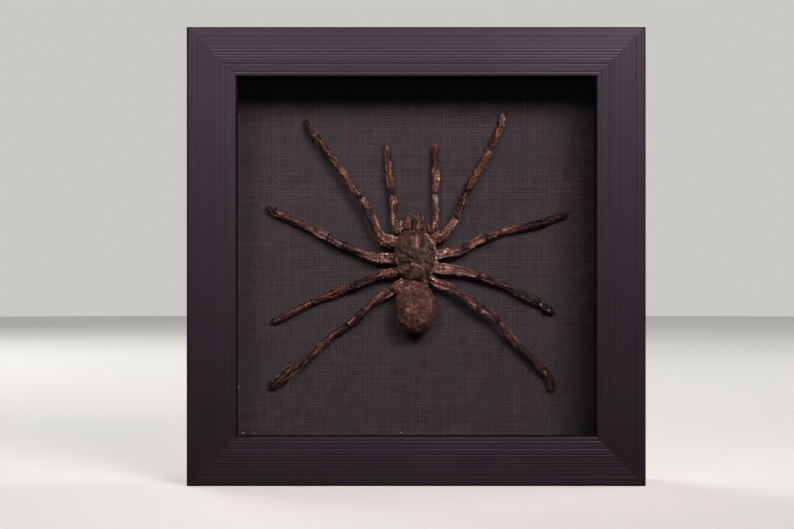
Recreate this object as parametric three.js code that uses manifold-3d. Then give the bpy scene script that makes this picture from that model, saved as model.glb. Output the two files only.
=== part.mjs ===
// A dried tarantula glued to a linen-covered board in a small square shadow box.
//
// The box stands on its bottom edge. Millimetres, +Z up, the front faces -Y, and the origin is in
// the middle of the ground under the whole object. Every piece is a closed solid and a mesh of its
// own, and pieces that touch keep a hair of air between them.

import * as THREE from 'three';
import { mergeVertices } from 'three/addons/utils/BufferGeometryUtils.js';
import Module from 'manifold-3d';

const wasm = await Module();
wasm.setup();

// ---------------------------------------------------------------- driving dimensions, mm

const FRAME_SIDE = 191; // outer width and height
const FRAME_DEPTH = 38;
const RAIL_FACE = 20.5; // width of the moulding's face, from outer edge to sight edge
const LIP_DEPTH = 5; // thickness of the lip in front of the glass
const REBATE = 6; // how far the lip reaches over the glass
const FACE_CROWN = 0.4; // how far the middle of the face stands proud of its edges
const OUTER_ROUND = 1.0; // rounding of the moulding's outer edge
const SIGHT_ROUND = 0.6; // rounding of its sight edge
const GAP = 0.3; // air between pieces that touch
const MITRE_GAP = 0.05; // half the hairline at a mitre

const GLASS_THICK = 2;
const CLOTH_DEPTH = 29; // from the front of the frame to the face of the linen
const CLOTH_THICK = 0.6;
const HEM_WIDTH = 12; // linen turned over onto the board's back
const BOARD_THICK = 3;
const PANEL_THICK = 2.5;
const SPACER_THICK = 4;

const TAB = { width: 8, reach: 14, thick: 0.5, spread: 45, nose: 2.5 };
const HANGER = { width: 44, height: 8, thick: 0.8, teeth: 11, tooth: 1.6, arch: 1.0, end: 3 };
const NAIL = { radius: 0.7, head: 1.9, headThick: 0.8, length: 9, spread: 18.5 };

const SPIDER_Z = 96; // height of the middle of the carapace
const SPINE_SIDES = 8; // sides of a leg's section
const LEG_FLATNESS = 0.86; // height of a dried leg against its width
const CHELICERA_FLATNESS = 1.35;

// The moulding's grooves: distance from the outer edge, and depth. The deep ones part it in bands.
const FINE_GROOVE = 0.1;
const BAND_GROOVE = 0.2;
const GROOVES = [
  { at: 1.7, depth: FINE_GROOVE },
  { at: 4.2, depth: BAND_GROOVE },
  { at: 6.0, depth: FINE_GROOVE },
  { at: 7.7, depth: FINE_GROOVE },
  { at: 9.2, depth: FINE_GROOVE },
  { at: 10.6, depth: BAND_GROOVE },
  { at: 12.3, depth: FINE_GROOVE },
  { at: 13.9, depth: FINE_GROOVE },
  { at: 15.6, depth: BAND_GROOVE },
  { at: 17.5, depth: FINE_GROOVE },
  { at: 19.0, depth: FINE_GROOVE },
];
const GROOVE_HALF_WIDTH = 0.22;

// ---------------------------------------------------------------- worked out from them

const HALF = FRAME_SIDE / 2;
const REBATE_HALF = HALF - RAIL_FACE + REBATE; // from the middle of the frame to the rebate's wall
const FILL_HALF = REBATE_HALF - GAP; // half the side of what lies in the rebate
const HANGER_PROUD = GAP + HANGER.thick + GAP + NAIL.headThick;
const FRONT_Y = -(FRAME_DEPTH + HANGER_PROUD) / 2;
const BACK_Y = FRONT_Y + FRAME_DEPTH;
const GLASS_Y = FRONT_Y + LIP_DEPTH + GAP;
const SPACER_Y = GLASS_Y + GLASS_THICK + GAP;
const CLOTH_Y = FRONT_Y + CLOTH_DEPTH;
const BOARD_Y = CLOTH_Y + CLOTH_THICK + GAP;
const HEM_Y = BOARD_Y + BOARD_THICK + GAP;
const PANEL_Y = HEM_Y + CLOTH_THICK + GAP;
const TAB_Y = PANEL_Y + PANEL_THICK + GAP;

// ---------------------------------------------------------------- the spider's own shape
//
// Distances are from the middle of the carapace, x to the right and z up, head up, so that the
// left of the picture is the animal's left. "Lift" is the height of a limb's axis over the linen.
// Each row of a limb is x, z, lift, width, from the body out to the claw.

const LIMBS = {
  leg_left_1: [
    [-6.8, 4.6, 4.6, 4.8], [-9.0, 5.5, 4.9, 5.5], [-12.5, 6.0, 5.2, 5.5], [-15.5, 8.5, 5.5, 4.4],
    [-17.5, 12.5, 5.6, 4.0], [-19.5, 17.5, 5.6, 3.8], [-22.0, 22.3, 5.6, 4.0], [-23.5, 24.5, 5.5, 3.2],
    [-26.0, 28.0, 5.3, 3.8], [-29.5, 33.0, 5.1, 3.6], [-32.5, 37.5, 4.9, 3.4], [-35.5, 41.5, 4.7, 3.8],
    [-38.5, 45.5, 4.2, 3.8], [-41.0, 48.5, 3.8, 3.1], [-44.0, 52.5, 3.2, 3.9], [-46.0, 55.5, 2.6, 3.3],
    [-47.0, 57.5, 2.2, 2.0],
  ],
  leg_right_1: [
    [6.6, 5.6, 4.6, 4.4], [9.6, 7.6, 4.9, 5.2], [12.0, 9.0, 5.2, 5.4], [14.5, 12.0, 5.5, 4.7],
    [17.0, 15.5, 5.6, 3.6], [18.0, 18.5, 5.6, 2.7], [19.5, 21.5, 5.5, 3.4], [20.5, 25.0, 5.4, 3.7],
    [21.5, 27.0, 5.4, 2.9], [23.5, 30.5, 5.2, 3.9], [25.0, 33.0, 5.0, 3.6], [27.0, 36.5, 4.8, 3.0],
    [29.0, 40.0, 4.6, 3.0], [30.5, 43.0, 4.4, 3.7], [31.7, 45.5, 4.1, 2.9], [33.5, 49.0, 3.8, 3.0],
    [35.3, 52.8, 3.4, 3.0], [36.2, 54.5, 3.1, 2.4], [36.9, 57.5, 2.6, 2.9], [36.7, 60.6, 2.0, 2.0],
  ],
  leg_left_2: [
    [-6.6, -1.2, 4.7, 4.2], [-9.3, -1.4, 5.0, 4.7], [-12.5, -1.2, 5.2, 4.7], [-17.0, -1.0, 5.2, 4.3],
    [-21.0, 0.4, 5.0, 3.8], [-25.5, 2.2, 4.6, 3.6], [-29.3, 3.9, 4.2, 3.2], [-32.5, 5.3, 4.0, 3.9],
    [-36.2, 7.3, 3.7, 3.8], [-41.0, 9.6, 3.4, 3.8], [-45.2, 11.8, 3.1, 3.3], [-49.5, 13.7, 2.9, 3.4],
    [-53.8, 15.8, 2.6, 3.4], [-57.5, 17.8, 2.4, 3.8], [-61.0, 19.3, 2.2, 3.2], [-63.3, 20.3, 2.0, 2.0],
  ],
  leg_right_2: [
    [6.8, 0.4, 4.7, 4.2], [9.8, 0.7, 4.9, 5.1], [13.0, 1.1, 5.0, 4.7], [17.2, 1.6, 4.7, 4.1],
    [21.0, 3.2, 4.4, 3.7], [25.4, 5.8, 4.1, 3.9], [29.5, 7.4, 3.7, 3.2], [34.0, 9.1, 3.3, 3.7],
    [37.3, 10.3, 3.0, 2.9], [41.5, 11.2, 2.7, 2.8], [46.0, 11.9, 2.5, 2.9], [48.2, 12.4, 2.4, 3.4],
    [52.5, 13.4, 2.2, 3.8], [57.0, 15.0, 2.1, 3.3], [61.0, 16.4, 2.0, 3.4], [64.3, 17.4, 1.8, 2.4],
  ],
  leg_left_3: [
    [-5.6, -5.8, 4.7, 4.0], [-7.9, -7.1, 4.9, 4.7], [-12.0, -7.6, 5.1, 4.3], [-16.0, -8.4, 5.0, 3.8],
    [-20.5, -10.1, 4.6, 3.7], [-24.7, -12.4, 4.1, 4.0], [-28.0, -13.6, 3.6, 3.4],
    [-32.0, -14.7, 3.2, 4.2], [-35.0, -16.0, 2.9, 3.3], [-39.6, -17.6, 2.6, 3.7],
    [-44.3, -19.8, 2.4, 3.0], [-49.0, -22.2, 2.2, 3.4], [-53.8, -24.6, 2.0, 3.3],
    [-57.6, -26.5, 1.9, 3.2], [-61.0, -28.1, 1.8, 2.2],
  ],
  leg_right_3: [
    [6.0, -4.2, 4.7, 4.2], [8.9, -5.1, 4.9, 4.7], [12.5, -5.7, 5.0, 4.4], [17.2, -6.2, 4.8, 3.9],
    [21.9, -7.2, 4.4, 3.8], [25.7, -8.6, 4.0, 3.6], [27.5, -9.2, 3.8, 3.2], [31.3, -10.1, 3.4, 4.1],
    [35.1, -11.5, 3.2, 3.4], [39.0, -13.4, 3.0, 3.4], [43.3, -15.5, 2.7, 3.6], [47.6, -17.6, 2.4, 3.8],
    [51.4, -19.5, 2.2, 3.8], [54.2, -21.3, 2.1, 2.8], [56.5, -22.9, 2.2, 4.3], [58.9, -24.2, 1.9, 2.2],
  ],
  leg_left_4: [
    [-5.2, -10.9, 4.6, 3.2], [-7.6, -12.8, 4.9, 4.2], [-10.6, -14.8, 4.8, 4.4],
    [-14.4, -17.2, 4.4, 3.5], [-18.6, -20.5, 4.0, 3.2], [-22.1, -23.9, 3.6, 3.4],
    [-25.5, -26.6, 3.2, 4.1], [-29.4, -29.9, 2.9, 3.6], [-32.8, -32.5, 2.6, 3.0],
    [-37.0, -35.5, 2.5, 3.4], [-41.4, -39.3, 2.4, 3.7], [-44.8, -42.5, 2.3, 3.1],
    [-49.5, -46.2, 2.3, 4.0], [-54.1, -50.4, 2.3, 4.4], [-58.8, -53.9, 2.3, 4.4],
    [-61.8, -55.8, 2.0, 3.2],
  ],
  leg_right_4: [
    [5.6, -9.4, 4.6, 3.6], [8.4, -11.3, 5.0, 4.6], [11.2, -12.3, 5.4, 4.7], [15.4, -14.2, 5.8, 3.9],
    [19.6, -16.8, 6.0, 3.8], [23.9, -19.7, 6.1, 3.9], [28.1, -22.5, 6.1, 3.8], [31.5, -24.9, 5.9, 3.4],
    [34.0, -26.8, 5.6, 3.0], [37.4, -30.8, 5.0, 3.1], [41.0, -35.0, 4.5, 3.3], [44.9, -39.3, 3.9, 3.2],
    [48.8, -43.1, 3.4, 3.7], [52.7, -47.2, 3.0, 3.8], [56.1, -50.6, 2.5, 3.3], [58.0, -54.5, 2.4, 4.1],
    [59.1, -57.0, 2.0, 2.4],
  ],
  pedipalp_left: [
    [-6.9, 9.8, 5.0, 2.1], [-8.4, 11.4, 5.0, 2.6], [-9.1, 13.7, 5.0, 3.4], [-9.6, 16.7, 4.8, 2.6],
    [-9.7, 19.2, 4.6, 2.1], [-9.6, 22.4, 4.5, 3.5], [-9.8, 25.0, 4.4, 2.8], [-10.6, 28.8, 4.0, 3.0],
    [-11.1, 33.9, 3.5, 3.1], [-11.6, 39.0, 3.0, 3.2], [-12.0, 43.7, 2.6, 3.4], [-12.2, 47.2, 2.2, 2.8],
  ],
  pedipalp_right: [
    [6.0, 10.0, 5.0, 2.0], [7.4, 12.3, 5.0, 2.7], [8.6, 15.2, 4.8, 3.0], [8.9, 18.2, 4.6, 2.5],
    [8.4, 21.6, 4.5, 3.1], [8.2, 24.8, 4.4, 2.8], [8.5, 28.8, 4.0, 3.2], [8.5, 33.9, 3.5, 3.4],
    [8.5, 38.6, 3.0, 3.2], [8.5, 41.4, 2.8, 3.1], [8.4, 44.6, 2.5, 3.8], [8.3, 47.0, 2.2, 3.4],
  ],
};

const CHELICERAE = {
  chelicera_left: [
    [-3.7, 9.4, 6.8, 3.8], [-3.6, 12.0, 6.6, 3.9], [-3.6, 15.0, 6.0, 3.5], [-3.6, 17.6, 5.0, 2.4],
  ],
  chelicera_right: [
    [1.8, 9.4, 6.8, 4.8], [1.6, 12.0, 6.6, 4.9], [1.4, 15.0, 6.0, 4.5], [0.9, 17.6, 5.0, 3.0],
  ],
};

// The lobe on each palp's first joint, beside the chelicera: x, z, lift, width.
const PALP_LOBES = {
  pedipalp_left: [[-7.4, 10.4, 4.4, 1.6], [-6.4, 12.2, 4.2, 1.8], [-6.1, 14.4, 3.8, 1.4]],
  pedipalp_right: [[6.4, 10.6, 4.4, 1.6], [5.4, 12.2, 4.2, 1.7], [5.0, 13.8, 3.8, 1.3]],
};

// The waist, with the shrunken skin that spreads from it to the last pair of legs.
const WAIST = [[0.3, -7.6, 5.4, 9.0], [0.3, -10.6, 5.8, 10.6], [0.2, -13.4, 6.6, 11.4]];
const WAIST_FLATNESS = 0.62;

// Outlines seen from the front, clockwise from the head: x, z.
const CARAPACE_OUTLINE = [
  [-1.4, 11.1], [2.2, 10.9], [4.9, 10.0], [6.7, 7.9], [8.1, 5.3], [8.8, 2.2], [9.1, -0.7], [8.7, -3.6],
  [7.3, -6.9], [5.7, -9.2], [2.9, -10.6], [-0.8, -10.9], [-3.8, -10.2], [-5.7, -8.7], [-7.3, -6.1],
  [-8.5, -3.4], [-9.0, -0.6], [-9.1, 2.9], [-8.5, 6.1], [-7.4, 8.6], [-5.0, 10.6],
];
const ABDOMEN_OUTLINE = [
  [-1.6, -12.2], [2.0, -12.2], [5.4, -13.6], [7.6, -16.5], [8.8, -19.8], [9.0, -23.0], [8.6, -26.2],
  [7.6, -29.0], [5.9, -31.3], [3.2, -32.9], [-0.4, -33.6], [-4.0, -32.2], [-6.3, -30.0], [-7.6, -27.3],
  [-8.3, -23.8], [-8.6, -19.6], [-8.0, -16.2], [-5.2, -13.4],
];
const CARAPACE_MIDDLE = [-0.2, 0];
const ABDOMEN_MIDDLE = [0.2, -22.8];

// Half sections from the underside's middle over the edge to the top: share of the outline, height
// over the linen. The sternum is narrower than the shell, so the legs start under the shell's edge.
const CARAPACE_SECTION = [
  [0, 0.4], [0.34, 0.5], [0.54, 1.3], [0.65, 3.2], [0.7, 5.6], [0.77, 7.6], [0.95, 7.8], [1, 8.3],
  [0.96, 9.1], [0.88, 10.0], [0.76, 10.9], [0.62, 11.6], [0.46, 12.1], [0.3, 12.4], [0.14, 12.5], [0, 12.5],
];
const ABDOMEN_SECTION = [
  [0, 0.4], [0.36, 0.5], [0.62, 1.3], [0.82, 3.0], [0.94, 5.0], [1, 7.4], [0.98, 9.4], [0.9, 11.5],
  [0.77, 13.2], [0.58, 14.5], [0.38, 15.2], [0.18, 15.5], [0, 15.6],
];

const FOVEA = { x: 0.2, z: -4.2, radius: 1.9, depth: 1.3 }; // dimple behind the carapace's middle
const EYES = { x: -1.1, z: 9.0, radius: 1.7, height: 1.0 }; // the raised eye group at the front
const HEAD = { z: 4.2, half: 5.2, height: 1.1 }; // the head stands a little over the thorax
const RADIAL = { furrows: 4, depth: 0.5 }; // shallow furrows from the fovea to each leg

// ---------------------------------------------------------------- materials

function finish(colour, roughness, extras = {}) {
  return new THREE.MeshStandardMaterial({ color: colour, roughness, ...extras });
}

const MOULDING = finish('#4a4147', 0.5);
const GLASS = finish('#e8eeec', 0.05, { transparent: true, opacity: 0.2 });
const SPACER = finish('#141315', 0.8);
const LINEN = finish('#40353a', 0.95);
const CARD = finish('#cfc8b8', 0.9);
const HARDBOARD = finish('#6b4a30', 0.8);
const STEEL = finish('#8d8f92', 0.4, { metalness: 0.9 });
const BRASSED = finish('#a98d4f', 0.4, { metalness: 0.9 });
const CUTICLE = finish('#8a6350', 0.6);
const SHELL = finish('#6e5240', 0.6);
const VELVET = finish('#5f4034', 0.85);

// ---------------------------------------------------------------- geometry helpers

// One closed mesh that shares its vertices, with flat-shaded normals left to the renderer.
function closed(geometry) {
  geometry.deleteAttribute('normal');
  geometry.deleteAttribute('uv');
  const merged = mergeVertices(geometry, 1e-4);
  merged.computeVertexNormals();
  return merged;
}

function toSolid(geometry) {
  const mesh = closed(geometry.clone());
  return new wasm.Manifold(new wasm.Mesh({
    numProp: 3,
    vertProperties: new Float32Array(mesh.attributes.position.array),
    triVerts: new Uint32Array(mesh.index.array),
  }));
}

function toGeometry(solid) {
  const { vertProperties, triVerts } = solid.getMesh();
  const geometry = new THREE.BufferGeometry();
  geometry.setAttribute('position', new THREE.BufferAttribute(vertProperties, 3));
  geometry.setIndex(new THREE.BufferAttribute(triVerts, 1));
  geometry.computeVertexNormals();
  return geometry;
}

function cut(geometry, ...tools) {
  return toGeometry(tools.reduce((solid, tool) => solid.subtract(toSolid(tool)), toSolid(geometry)));
}

function join(geometry, ...others) {
  return toGeometry(others.reduce((solid, other) => solid.add(toSolid(other)), toSolid(geometry)));
}

// Moves every vertex of a geometry by a function of its place.
function reshape(geometry, place) {
  const position = geometry.attributes.position;
  const point = new THREE.Vector3();
  for (let i = 0; i < position.count; i++) {
    point.fromBufferAttribute(position, i);
    place(point);
    position.setXYZ(i, point.x, point.y, point.z);
  }
  return closed(geometry);
}

// A box between two depths, centred on the frame's middle, for what lies in the frame.
function plate(halfX, halfZ, fromY, thick, x = 0, z = 0) {
  const box = new THREE.BoxGeometry(2 * halfX, thick, 2 * halfZ);
  return box.translate(x, fromY + thick / 2, HALF + z);
}

function piece(name, geometry, material) {
  const mesh = new THREE.Mesh(geometry, material);
  mesh.name = name;
  return mesh;
}

// ---------------------------------------------------------------- the frame

// How far the crowned face lies behind the frame's front plane, at a distance from the outer edge.
function faceDepth(at) {
  return FACE_CROWN * (2 * at / RAIL_FACE - 1) ** 2;
}

// The moulding's section: x from the outer edge inwards, y from the front plane back.
function railSection() {
  const outerTop = faceDepth(OUTER_ROUND);
  const sightTop = faceDepth(RAIL_FACE - SIGHT_ROUND);
  const section = new THREE.Shape();
  section.moveTo(0, FRAME_DEPTH);
  section.lineTo(0, outerTop + OUTER_ROUND);
  section.absarc(OUTER_ROUND, outerTop + OUTER_ROUND, OUTER_ROUND, Math.PI, 1.5 * Math.PI);
  for (const { at, depth } of GROOVES) {
    section.lineTo(at - GROOVE_HALF_WIDTH, faceDepth(at - GROOVE_HALF_WIDTH));
    section.lineTo(at, faceDepth(at) + depth);
    section.lineTo(at + GROOVE_HALF_WIDTH, faceDepth(at + GROOVE_HALF_WIDTH));
  }
  section.absarc(RAIL_FACE - SIGHT_ROUND, sightTop + SIGHT_ROUND, SIGHT_ROUND, 1.5 * Math.PI, 2 * Math.PI);
  section.lineTo(RAIL_FACE, LIP_DEPTH);
  section.lineTo(RAIL_FACE - REBATE, LIP_DEPTH);
  section.lineTo(RAIL_FACE - REBATE, FRAME_DEPTH);
  return section;
}

// The bottom rail about the frame's middle, both ends cut at 45 degrees.
function railGeometry() {
  const bar = new THREE.ExtrudeGeometry(railSection(), { depth: 1, bevelEnabled: false, curveSegments: 3 });
  return reshape(bar, (point) => {
    const { x: fromEdge, y: depth, z: end } = point;
    const half = HALF - fromEdge - MITRE_GAP * Math.SQRT2;
    point.set((1 - 2 * end) * half, FRONT_Y + depth, fromEdge - HALF);
  });
}

function pin(radius, length, x, fromY, z, sides = 12) {
  const cylinder = new THREE.CylinderGeometry(radius, radius, length, sides);
  return cylinder.translate(x, fromY + length / 2, z);
}

const HANGER_Z = HALF - (RAIL_FACE - REBATE) / 2; // middle of the top rail's back, over the middle

// The top rail is the same bar turned over, with two holes for the hanger's nails.
function topRailGeometry() {
  const holes = [-1, 1].map((side) => pin(
    NAIL.radius + GAP, NAIL.length + GAP, side * NAIL.spread, BACK_Y - NAIL.length, -HANGER_Z));
  return cut(railGeometry(), ...holes);
}

// A flat steel tab, its nose rounded off, on the back panel by the bottom rail.
function tabGeometry(x) {
  const wall = GAP - REBATE_HALF;
  const outline = new THREE.Shape();
  outline.moveTo(-TAB.width / 2, wall);
  outline.lineTo(TAB.width / 2, wall);
  outline.lineTo(TAB.width / 2, wall + TAB.reach - TAB.nose);
  outline.quadraticCurveTo(TAB.width / 2, wall + TAB.reach, 0, wall + TAB.reach);
  outline.quadraticCurveTo(-TAB.width / 2, wall + TAB.reach, -TAB.width / 2, wall + TAB.reach - TAB.nose);
  const strip = { depth: TAB.thick, bevelEnabled: false, curveSegments: 3 };
  return reshape(new THREE.ExtrudeGeometry(outline, strip), (point) => {
    point.set(point.x + x, TAB_Y + TAB.thick - point.z, point.y);
  });
}

// The four rails with the tabs that are driven into them, each side turned about the middle.
function frameSides() {
  const sides = new THREE.Group();
  ['bottom', 'left', 'top', 'right'].forEach((side, turn) => {
    const group = new THREE.Group();
    group.position.z = HALF;
    group.rotation.y = turn * Math.PI / 2;
    const bar = side === 'top' ? topRailGeometry() : railGeometry();
    group.add(piece(`frame_rail_${side}`, bar, MOULDING));
    [-1, 1].forEach((hand, i) => {
      group.add(piece(`tab_${side}_${i + 1}`, tabGeometry(hand * TAB.spread), STEEL));
    });
    sides.add(group);
  });
  return sides;
}

// A strip with a row of teeth along its lower edge, arched away from the rail between its nails.
function hangerGeometry() {
  const { width, height, thick, teeth, tooth, arch, end } = HANGER;
  const toothed = width / 2 - 7;
  const outline = new THREE.Shape();
  outline.moveTo(-width / 2 + end, height / 2);
  outline.lineTo(-width / 2, height / 2 - end);
  outline.lineTo(-width / 2, -height / 2 + end);
  outline.lineTo(-width / 2 + end, -height / 2);
  for (let i = 0; i <= teeth; i++) {
    const x = -toothed + 2 * toothed * i / teeth;
    outline.lineTo(x, -height / 2);
    if (i < teeth) outline.lineTo(x + toothed / teeth, -height / 2 + tooth);
  }
  outline.lineTo(width / 2 - end, -height / 2);
  outline.lineTo(width / 2, -height / 2 + end);
  outline.lineTo(width / 2, height / 2 - end);
  outline.lineTo(width / 2 - end, height / 2);
  outline.lineTo(toothed, height / 2);
  outline.lineTo(0, height / 2);
  outline.lineTo(-toothed, height / 2);
  const strip = new THREE.ExtrudeGeometry(outline, { depth: thick, bevelEnabled: false });
  const bent = reshape(strip, (point) => {
    const raised = arch * Math.max(0, 1 - (point.x / toothed) ** 2);
    point.set(point.x, BACK_Y + GAP + raised + thick - point.z, point.y + HALF + HANGER_Z);
  });
  const holes = [-1, 1].map((side) => pin(
    NAIL.radius + GAP, 4 * thick, side * NAIL.spread, BACK_Y - thick, HALF + HANGER_Z));
  return cut(bent, ...holes);
}

function nailGeometry(side) {
  const x = side * NAIL.spread;
  const z = HALF + HANGER_Z;
  const pointY = BACK_Y - NAIL.length + GAP;
  const headY = BACK_Y + GAP + HANGER.thick + GAP;
  const shaft = pin(NAIL.radius, headY + NAIL.headThick / 2 - pointY, x, pointY, z, 10);
  return join(shaft, pin(NAIL.head, NAIL.headThick, x, headY, z));
}

function hardware() {
  const group = new THREE.Group();
  group.add(piece('hanger', hangerGeometry(), BRASSED));
  group.add(piece('hanger_nail_left', nailGeometry(-1), BRASSED));
  group.add(piece('hanger_nail_right', nailGeometry(1), BRASSED));
  return group;
}

// ---------------------------------------------------------------- what lies in the rebate

// The linen is a shallow tray round the board: its face, four turned edges and the hems behind.
function linenGeometry() {
  const inside = FILL_HALF - CLOTH_THICK;
  const opening = FILL_HALF - HEM_WIDTH;
  const depth = HEM_Y + CLOTH_THICK - CLOTH_Y;
  const hollow = plate(inside, inside, CLOTH_Y + CLOTH_THICK, HEM_Y - CLOTH_Y - CLOTH_THICK);
  const back = plate(opening, opening, HEM_Y - GAP, CLOTH_THICK + 2 * GAP);
  return cut(plate(FILL_HALF, FILL_HALF, CLOTH_Y, depth), hollow, back);
}

function spacers() {
  const group = new THREE.Group();
  const deep = CLOTH_Y - GAP - SPACER_Y;
  const across = FILL_HALF - SPACER_THICK / 2;
  const between = FILL_HALF - SPACER_THICK - GAP;
  group.add(piece('spacer_top', plate(FILL_HALF, SPACER_THICK / 2, SPACER_Y, deep, 0, across), SPACER));
  group.add(piece('spacer_bottom', plate(FILL_HALF, SPACER_THICK / 2, SPACER_Y, deep, 0, -across), SPACER));
  group.add(piece('spacer_left', plate(SPACER_THICK / 2, between, SPACER_Y, deep, -across), SPACER));
  group.add(piece('spacer_right', plate(SPACER_THICK / 2, between, SPACER_Y, deep, across), SPACER));
  return group;
}

function filling() {
  const group = new THREE.Group();
  const boardHalf = FILL_HALF - CLOTH_THICK - GAP;
  group.add(piece('glass', plate(FILL_HALF, FILL_HALF, GLASS_Y, GLASS_THICK), GLASS));
  group.add(piece('linen', linenGeometry(), LINEN));
  group.add(piece('mount_board', plate(boardHalf, boardHalf, BOARD_Y, BOARD_THICK), CARD));
  group.add(piece('back_panel', plate(FILL_HALF, FILL_HALF, PANEL_Y, PANEL_THICK), HARDBOARD));
  group.add(spacers());
  return group;
}

// ---------------------------------------------------------------- the tarantula

const OUT = new THREE.Vector3(0, -1, 0); // away from the board

function onCloth([x, z, lift]) {
  return new THREE.Vector3(x, CLOTH_Y - lift, SPIDER_Z + z);
}

// A limb: a capsule bent along its rows, as wide at each row as the row says.
function limbGeometry(rows, flatness = LEG_FLATNESS, sides = SPINE_SIDES) {
  const route = new THREE.CatmullRomCurve3(rows.map(onCloth));
  const spans = rows.length - 1;
  const rings = 2 * spans;
  const profile = [new THREE.Vector2(0, -0.62), new THREE.Vector2(0.74, -0.36)];
  for (let i = 0; i <= rings; i++) profile.push(new THREE.Vector2(1, i));
  profile.push(new THREE.Vector2(0.74, rings + 0.36), new THREE.Vector2(0, rings + 0.62));

  const tangent = new THREE.Vector3();
  const side = new THREE.Vector3();
  const normal = new THREE.Vector3();
  return reshape(new THREE.LatheGeometry(profile, sides), (point) => {
    const along = THREE.MathUtils.clamp(point.y, 0, rings);
    const t = along / rings;
    const row = Math.min(Math.floor(t * spans), spans - 1);
    const radius = THREE.MathUtils.lerp(rows[row][3], rows[row + 1][3], t * spans - row) / 2;
    route.getTangent(t, tangent);
    side.crossVectors(tangent, OUT).normalize();
    normal.crossVectors(side, tangent);
    side.multiplyScalar(point.x * radius);
    normal.multiplyScalar(point.z * radius * flatness);
    tangent.multiplyScalar((point.y - along) * radius);
    route.getPoint(t, point).add(side).add(normal).add(tangent);
  });
}

// A body part: its half section swept round its outline, with a relief added to the height.
function bodyGeometry(outline, [middleX, middleZ], section, segments, relief, grow = 0) {
  const edgeHeight = section[section.length >> 1][1];
  const edge = new THREE.CatmullRomCurve3(
    outline.map(([x, z]) => new THREE.Vector3(x - middleX, 0, z - middleZ)), true);
  edge.arcLengthDivisions = 800;
  const profile = section.map(([share, height]) => new THREE.Vector2(share, height));
  const rim = new THREE.Vector3();
  return reshape(new THREE.LatheGeometry(profile, segments), (point) => {
    const share = Math.hypot(point.x, point.z);
    const turn = (Math.atan2(-point.x, point.z) / (2 * Math.PI) + 1) % 1;
    edge.getPointAt(turn, rim);
    const reach = share * (1 + grow / rim.length());
    const x = middleX + rim.x * reach;
    const z = middleZ + rim.z * reach;
    const height = point.y + relief(x, z, share, turn, point.y) + grow * Math.sign(point.y - edgeHeight);
    point.set(x, CLOTH_Y - height, SPIDER_Z + z);
  });
}

function bump(distance, radius) {
  return Math.max(0, 1 - (distance / radius) ** 2) ** 2;
}

// The carapace: a raised head with the eye group, a fovea, and furrows running out to the legs.
function carapaceRelief(x, z, share, turn, height) {
  if (height < CARAPACE_SECTION[7][1] + 0.1) return 0;
  const fade = Math.sin(Math.PI * share) ** 2;
  const furrows = -RADIAL.depth * fade * (0.5 + 0.5 * Math.cos(2 * Math.PI * (2 * RADIAL.furrows) * turn));
  const head = HEAD.height * bump(z - HEAD.z, 2 * HEAD.half) * bump(x, HEAD.half) * (1 - share ** 4);
  const fovea = -FOVEA.depth * bump(Math.hypot(x - FOVEA.x, z - FOVEA.z), FOVEA.radius);
  const eyes = EYES.height * bump(Math.hypot(x - EYES.x, z - EYES.z), EYES.radius);
  return furrows + head + fovea + eyes;
}

// The abdomen dried with a sunken band down its middle and a drooping hind end.
function abdomenRelief(x, z, share, turn, height) {
  if (height < ABDOMEN_SECTION[5][1] + 0.1) return 0;
  const inside = 1 - share ** 2;
  const band = -0.7 * bump(x + 0.6, 2.6) * inside;
  const droop = -1.8 * THREE.MathUtils.smoothstep(ABDOMEN_MIDDLE[1] - z, 2, 11) * (1 - share ** 6);
  return band + droop;
}

function tarantula() {
  const group = new THREE.Group();
  const carapace = (grow) => bodyGeometry(
    CARAPACE_OUTLINE, CARAPACE_MIDDLE, CARAPACE_SECTION, 34, carapaceRelief, grow);
  const sac = (grow) => bodyGeometry(
    ABDOMEN_OUTLINE, ABDOMEN_MIDDLE, ABDOMEN_SECTION, 28, abdomenRelief, grow);
  const waist = (grow) => limbGeometry(
    WAIST.map(([x, z, lift, width]) => [x, z, lift, width + 2 * grow]), WAIST_FLATNESS, 10);
  group.add(piece('carapace', carapace(0), SHELL));
  group.add(piece('abdomen', cut(join(sac(0), waist(0)), carapace(GAP)), VELVET));

  // Every limb is cut back where it would meet the body.
  const body = [carapace(GAP), sac(GAP), waist(GAP)];
  for (const [name, rows] of Object.entries(CHELICERAE)) {
    group.add(piece(name, cut(limbGeometry(rows, CHELICERA_FLATNESS, 10), ...body), SHELL));
  }
  for (const [name, rows] of Object.entries(LIMBS)) {
    const limb = limbGeometry(rows);
    const lobe = PALP_LOBES[name];
    const whole = lobe ? join(limb, limbGeometry(lobe, 1, 6)) : limb;
    group.add(piece(name, cut(whole, ...body), CUTICLE));
  }
  return group;
}

const specimen = new THREE.Group();
specimen.add(frameSides(), filling(), hardware(), tarantula());

export default specimen;
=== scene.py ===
"""A dried tarantula in a small square shadow box, dressed around its CAD frame.

The box has four mitred rails of a finely combed moulding, a pane of glass, black spacers, a board
covered with linen, a hardboard back with steel tabs, and a sawtooth hanger. The spider lies on the
linen: its skin is shrivelled, cracked and mottled, with bristles on the limbs and velvet on the
abdomen. Everything is in metres, the front faces -Y, and the box stands on the ground at Z = 0.
"""

import math

import bmesh
import bpy
import numpy as np
from mathutils import Matrix, Vector, noise


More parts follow.
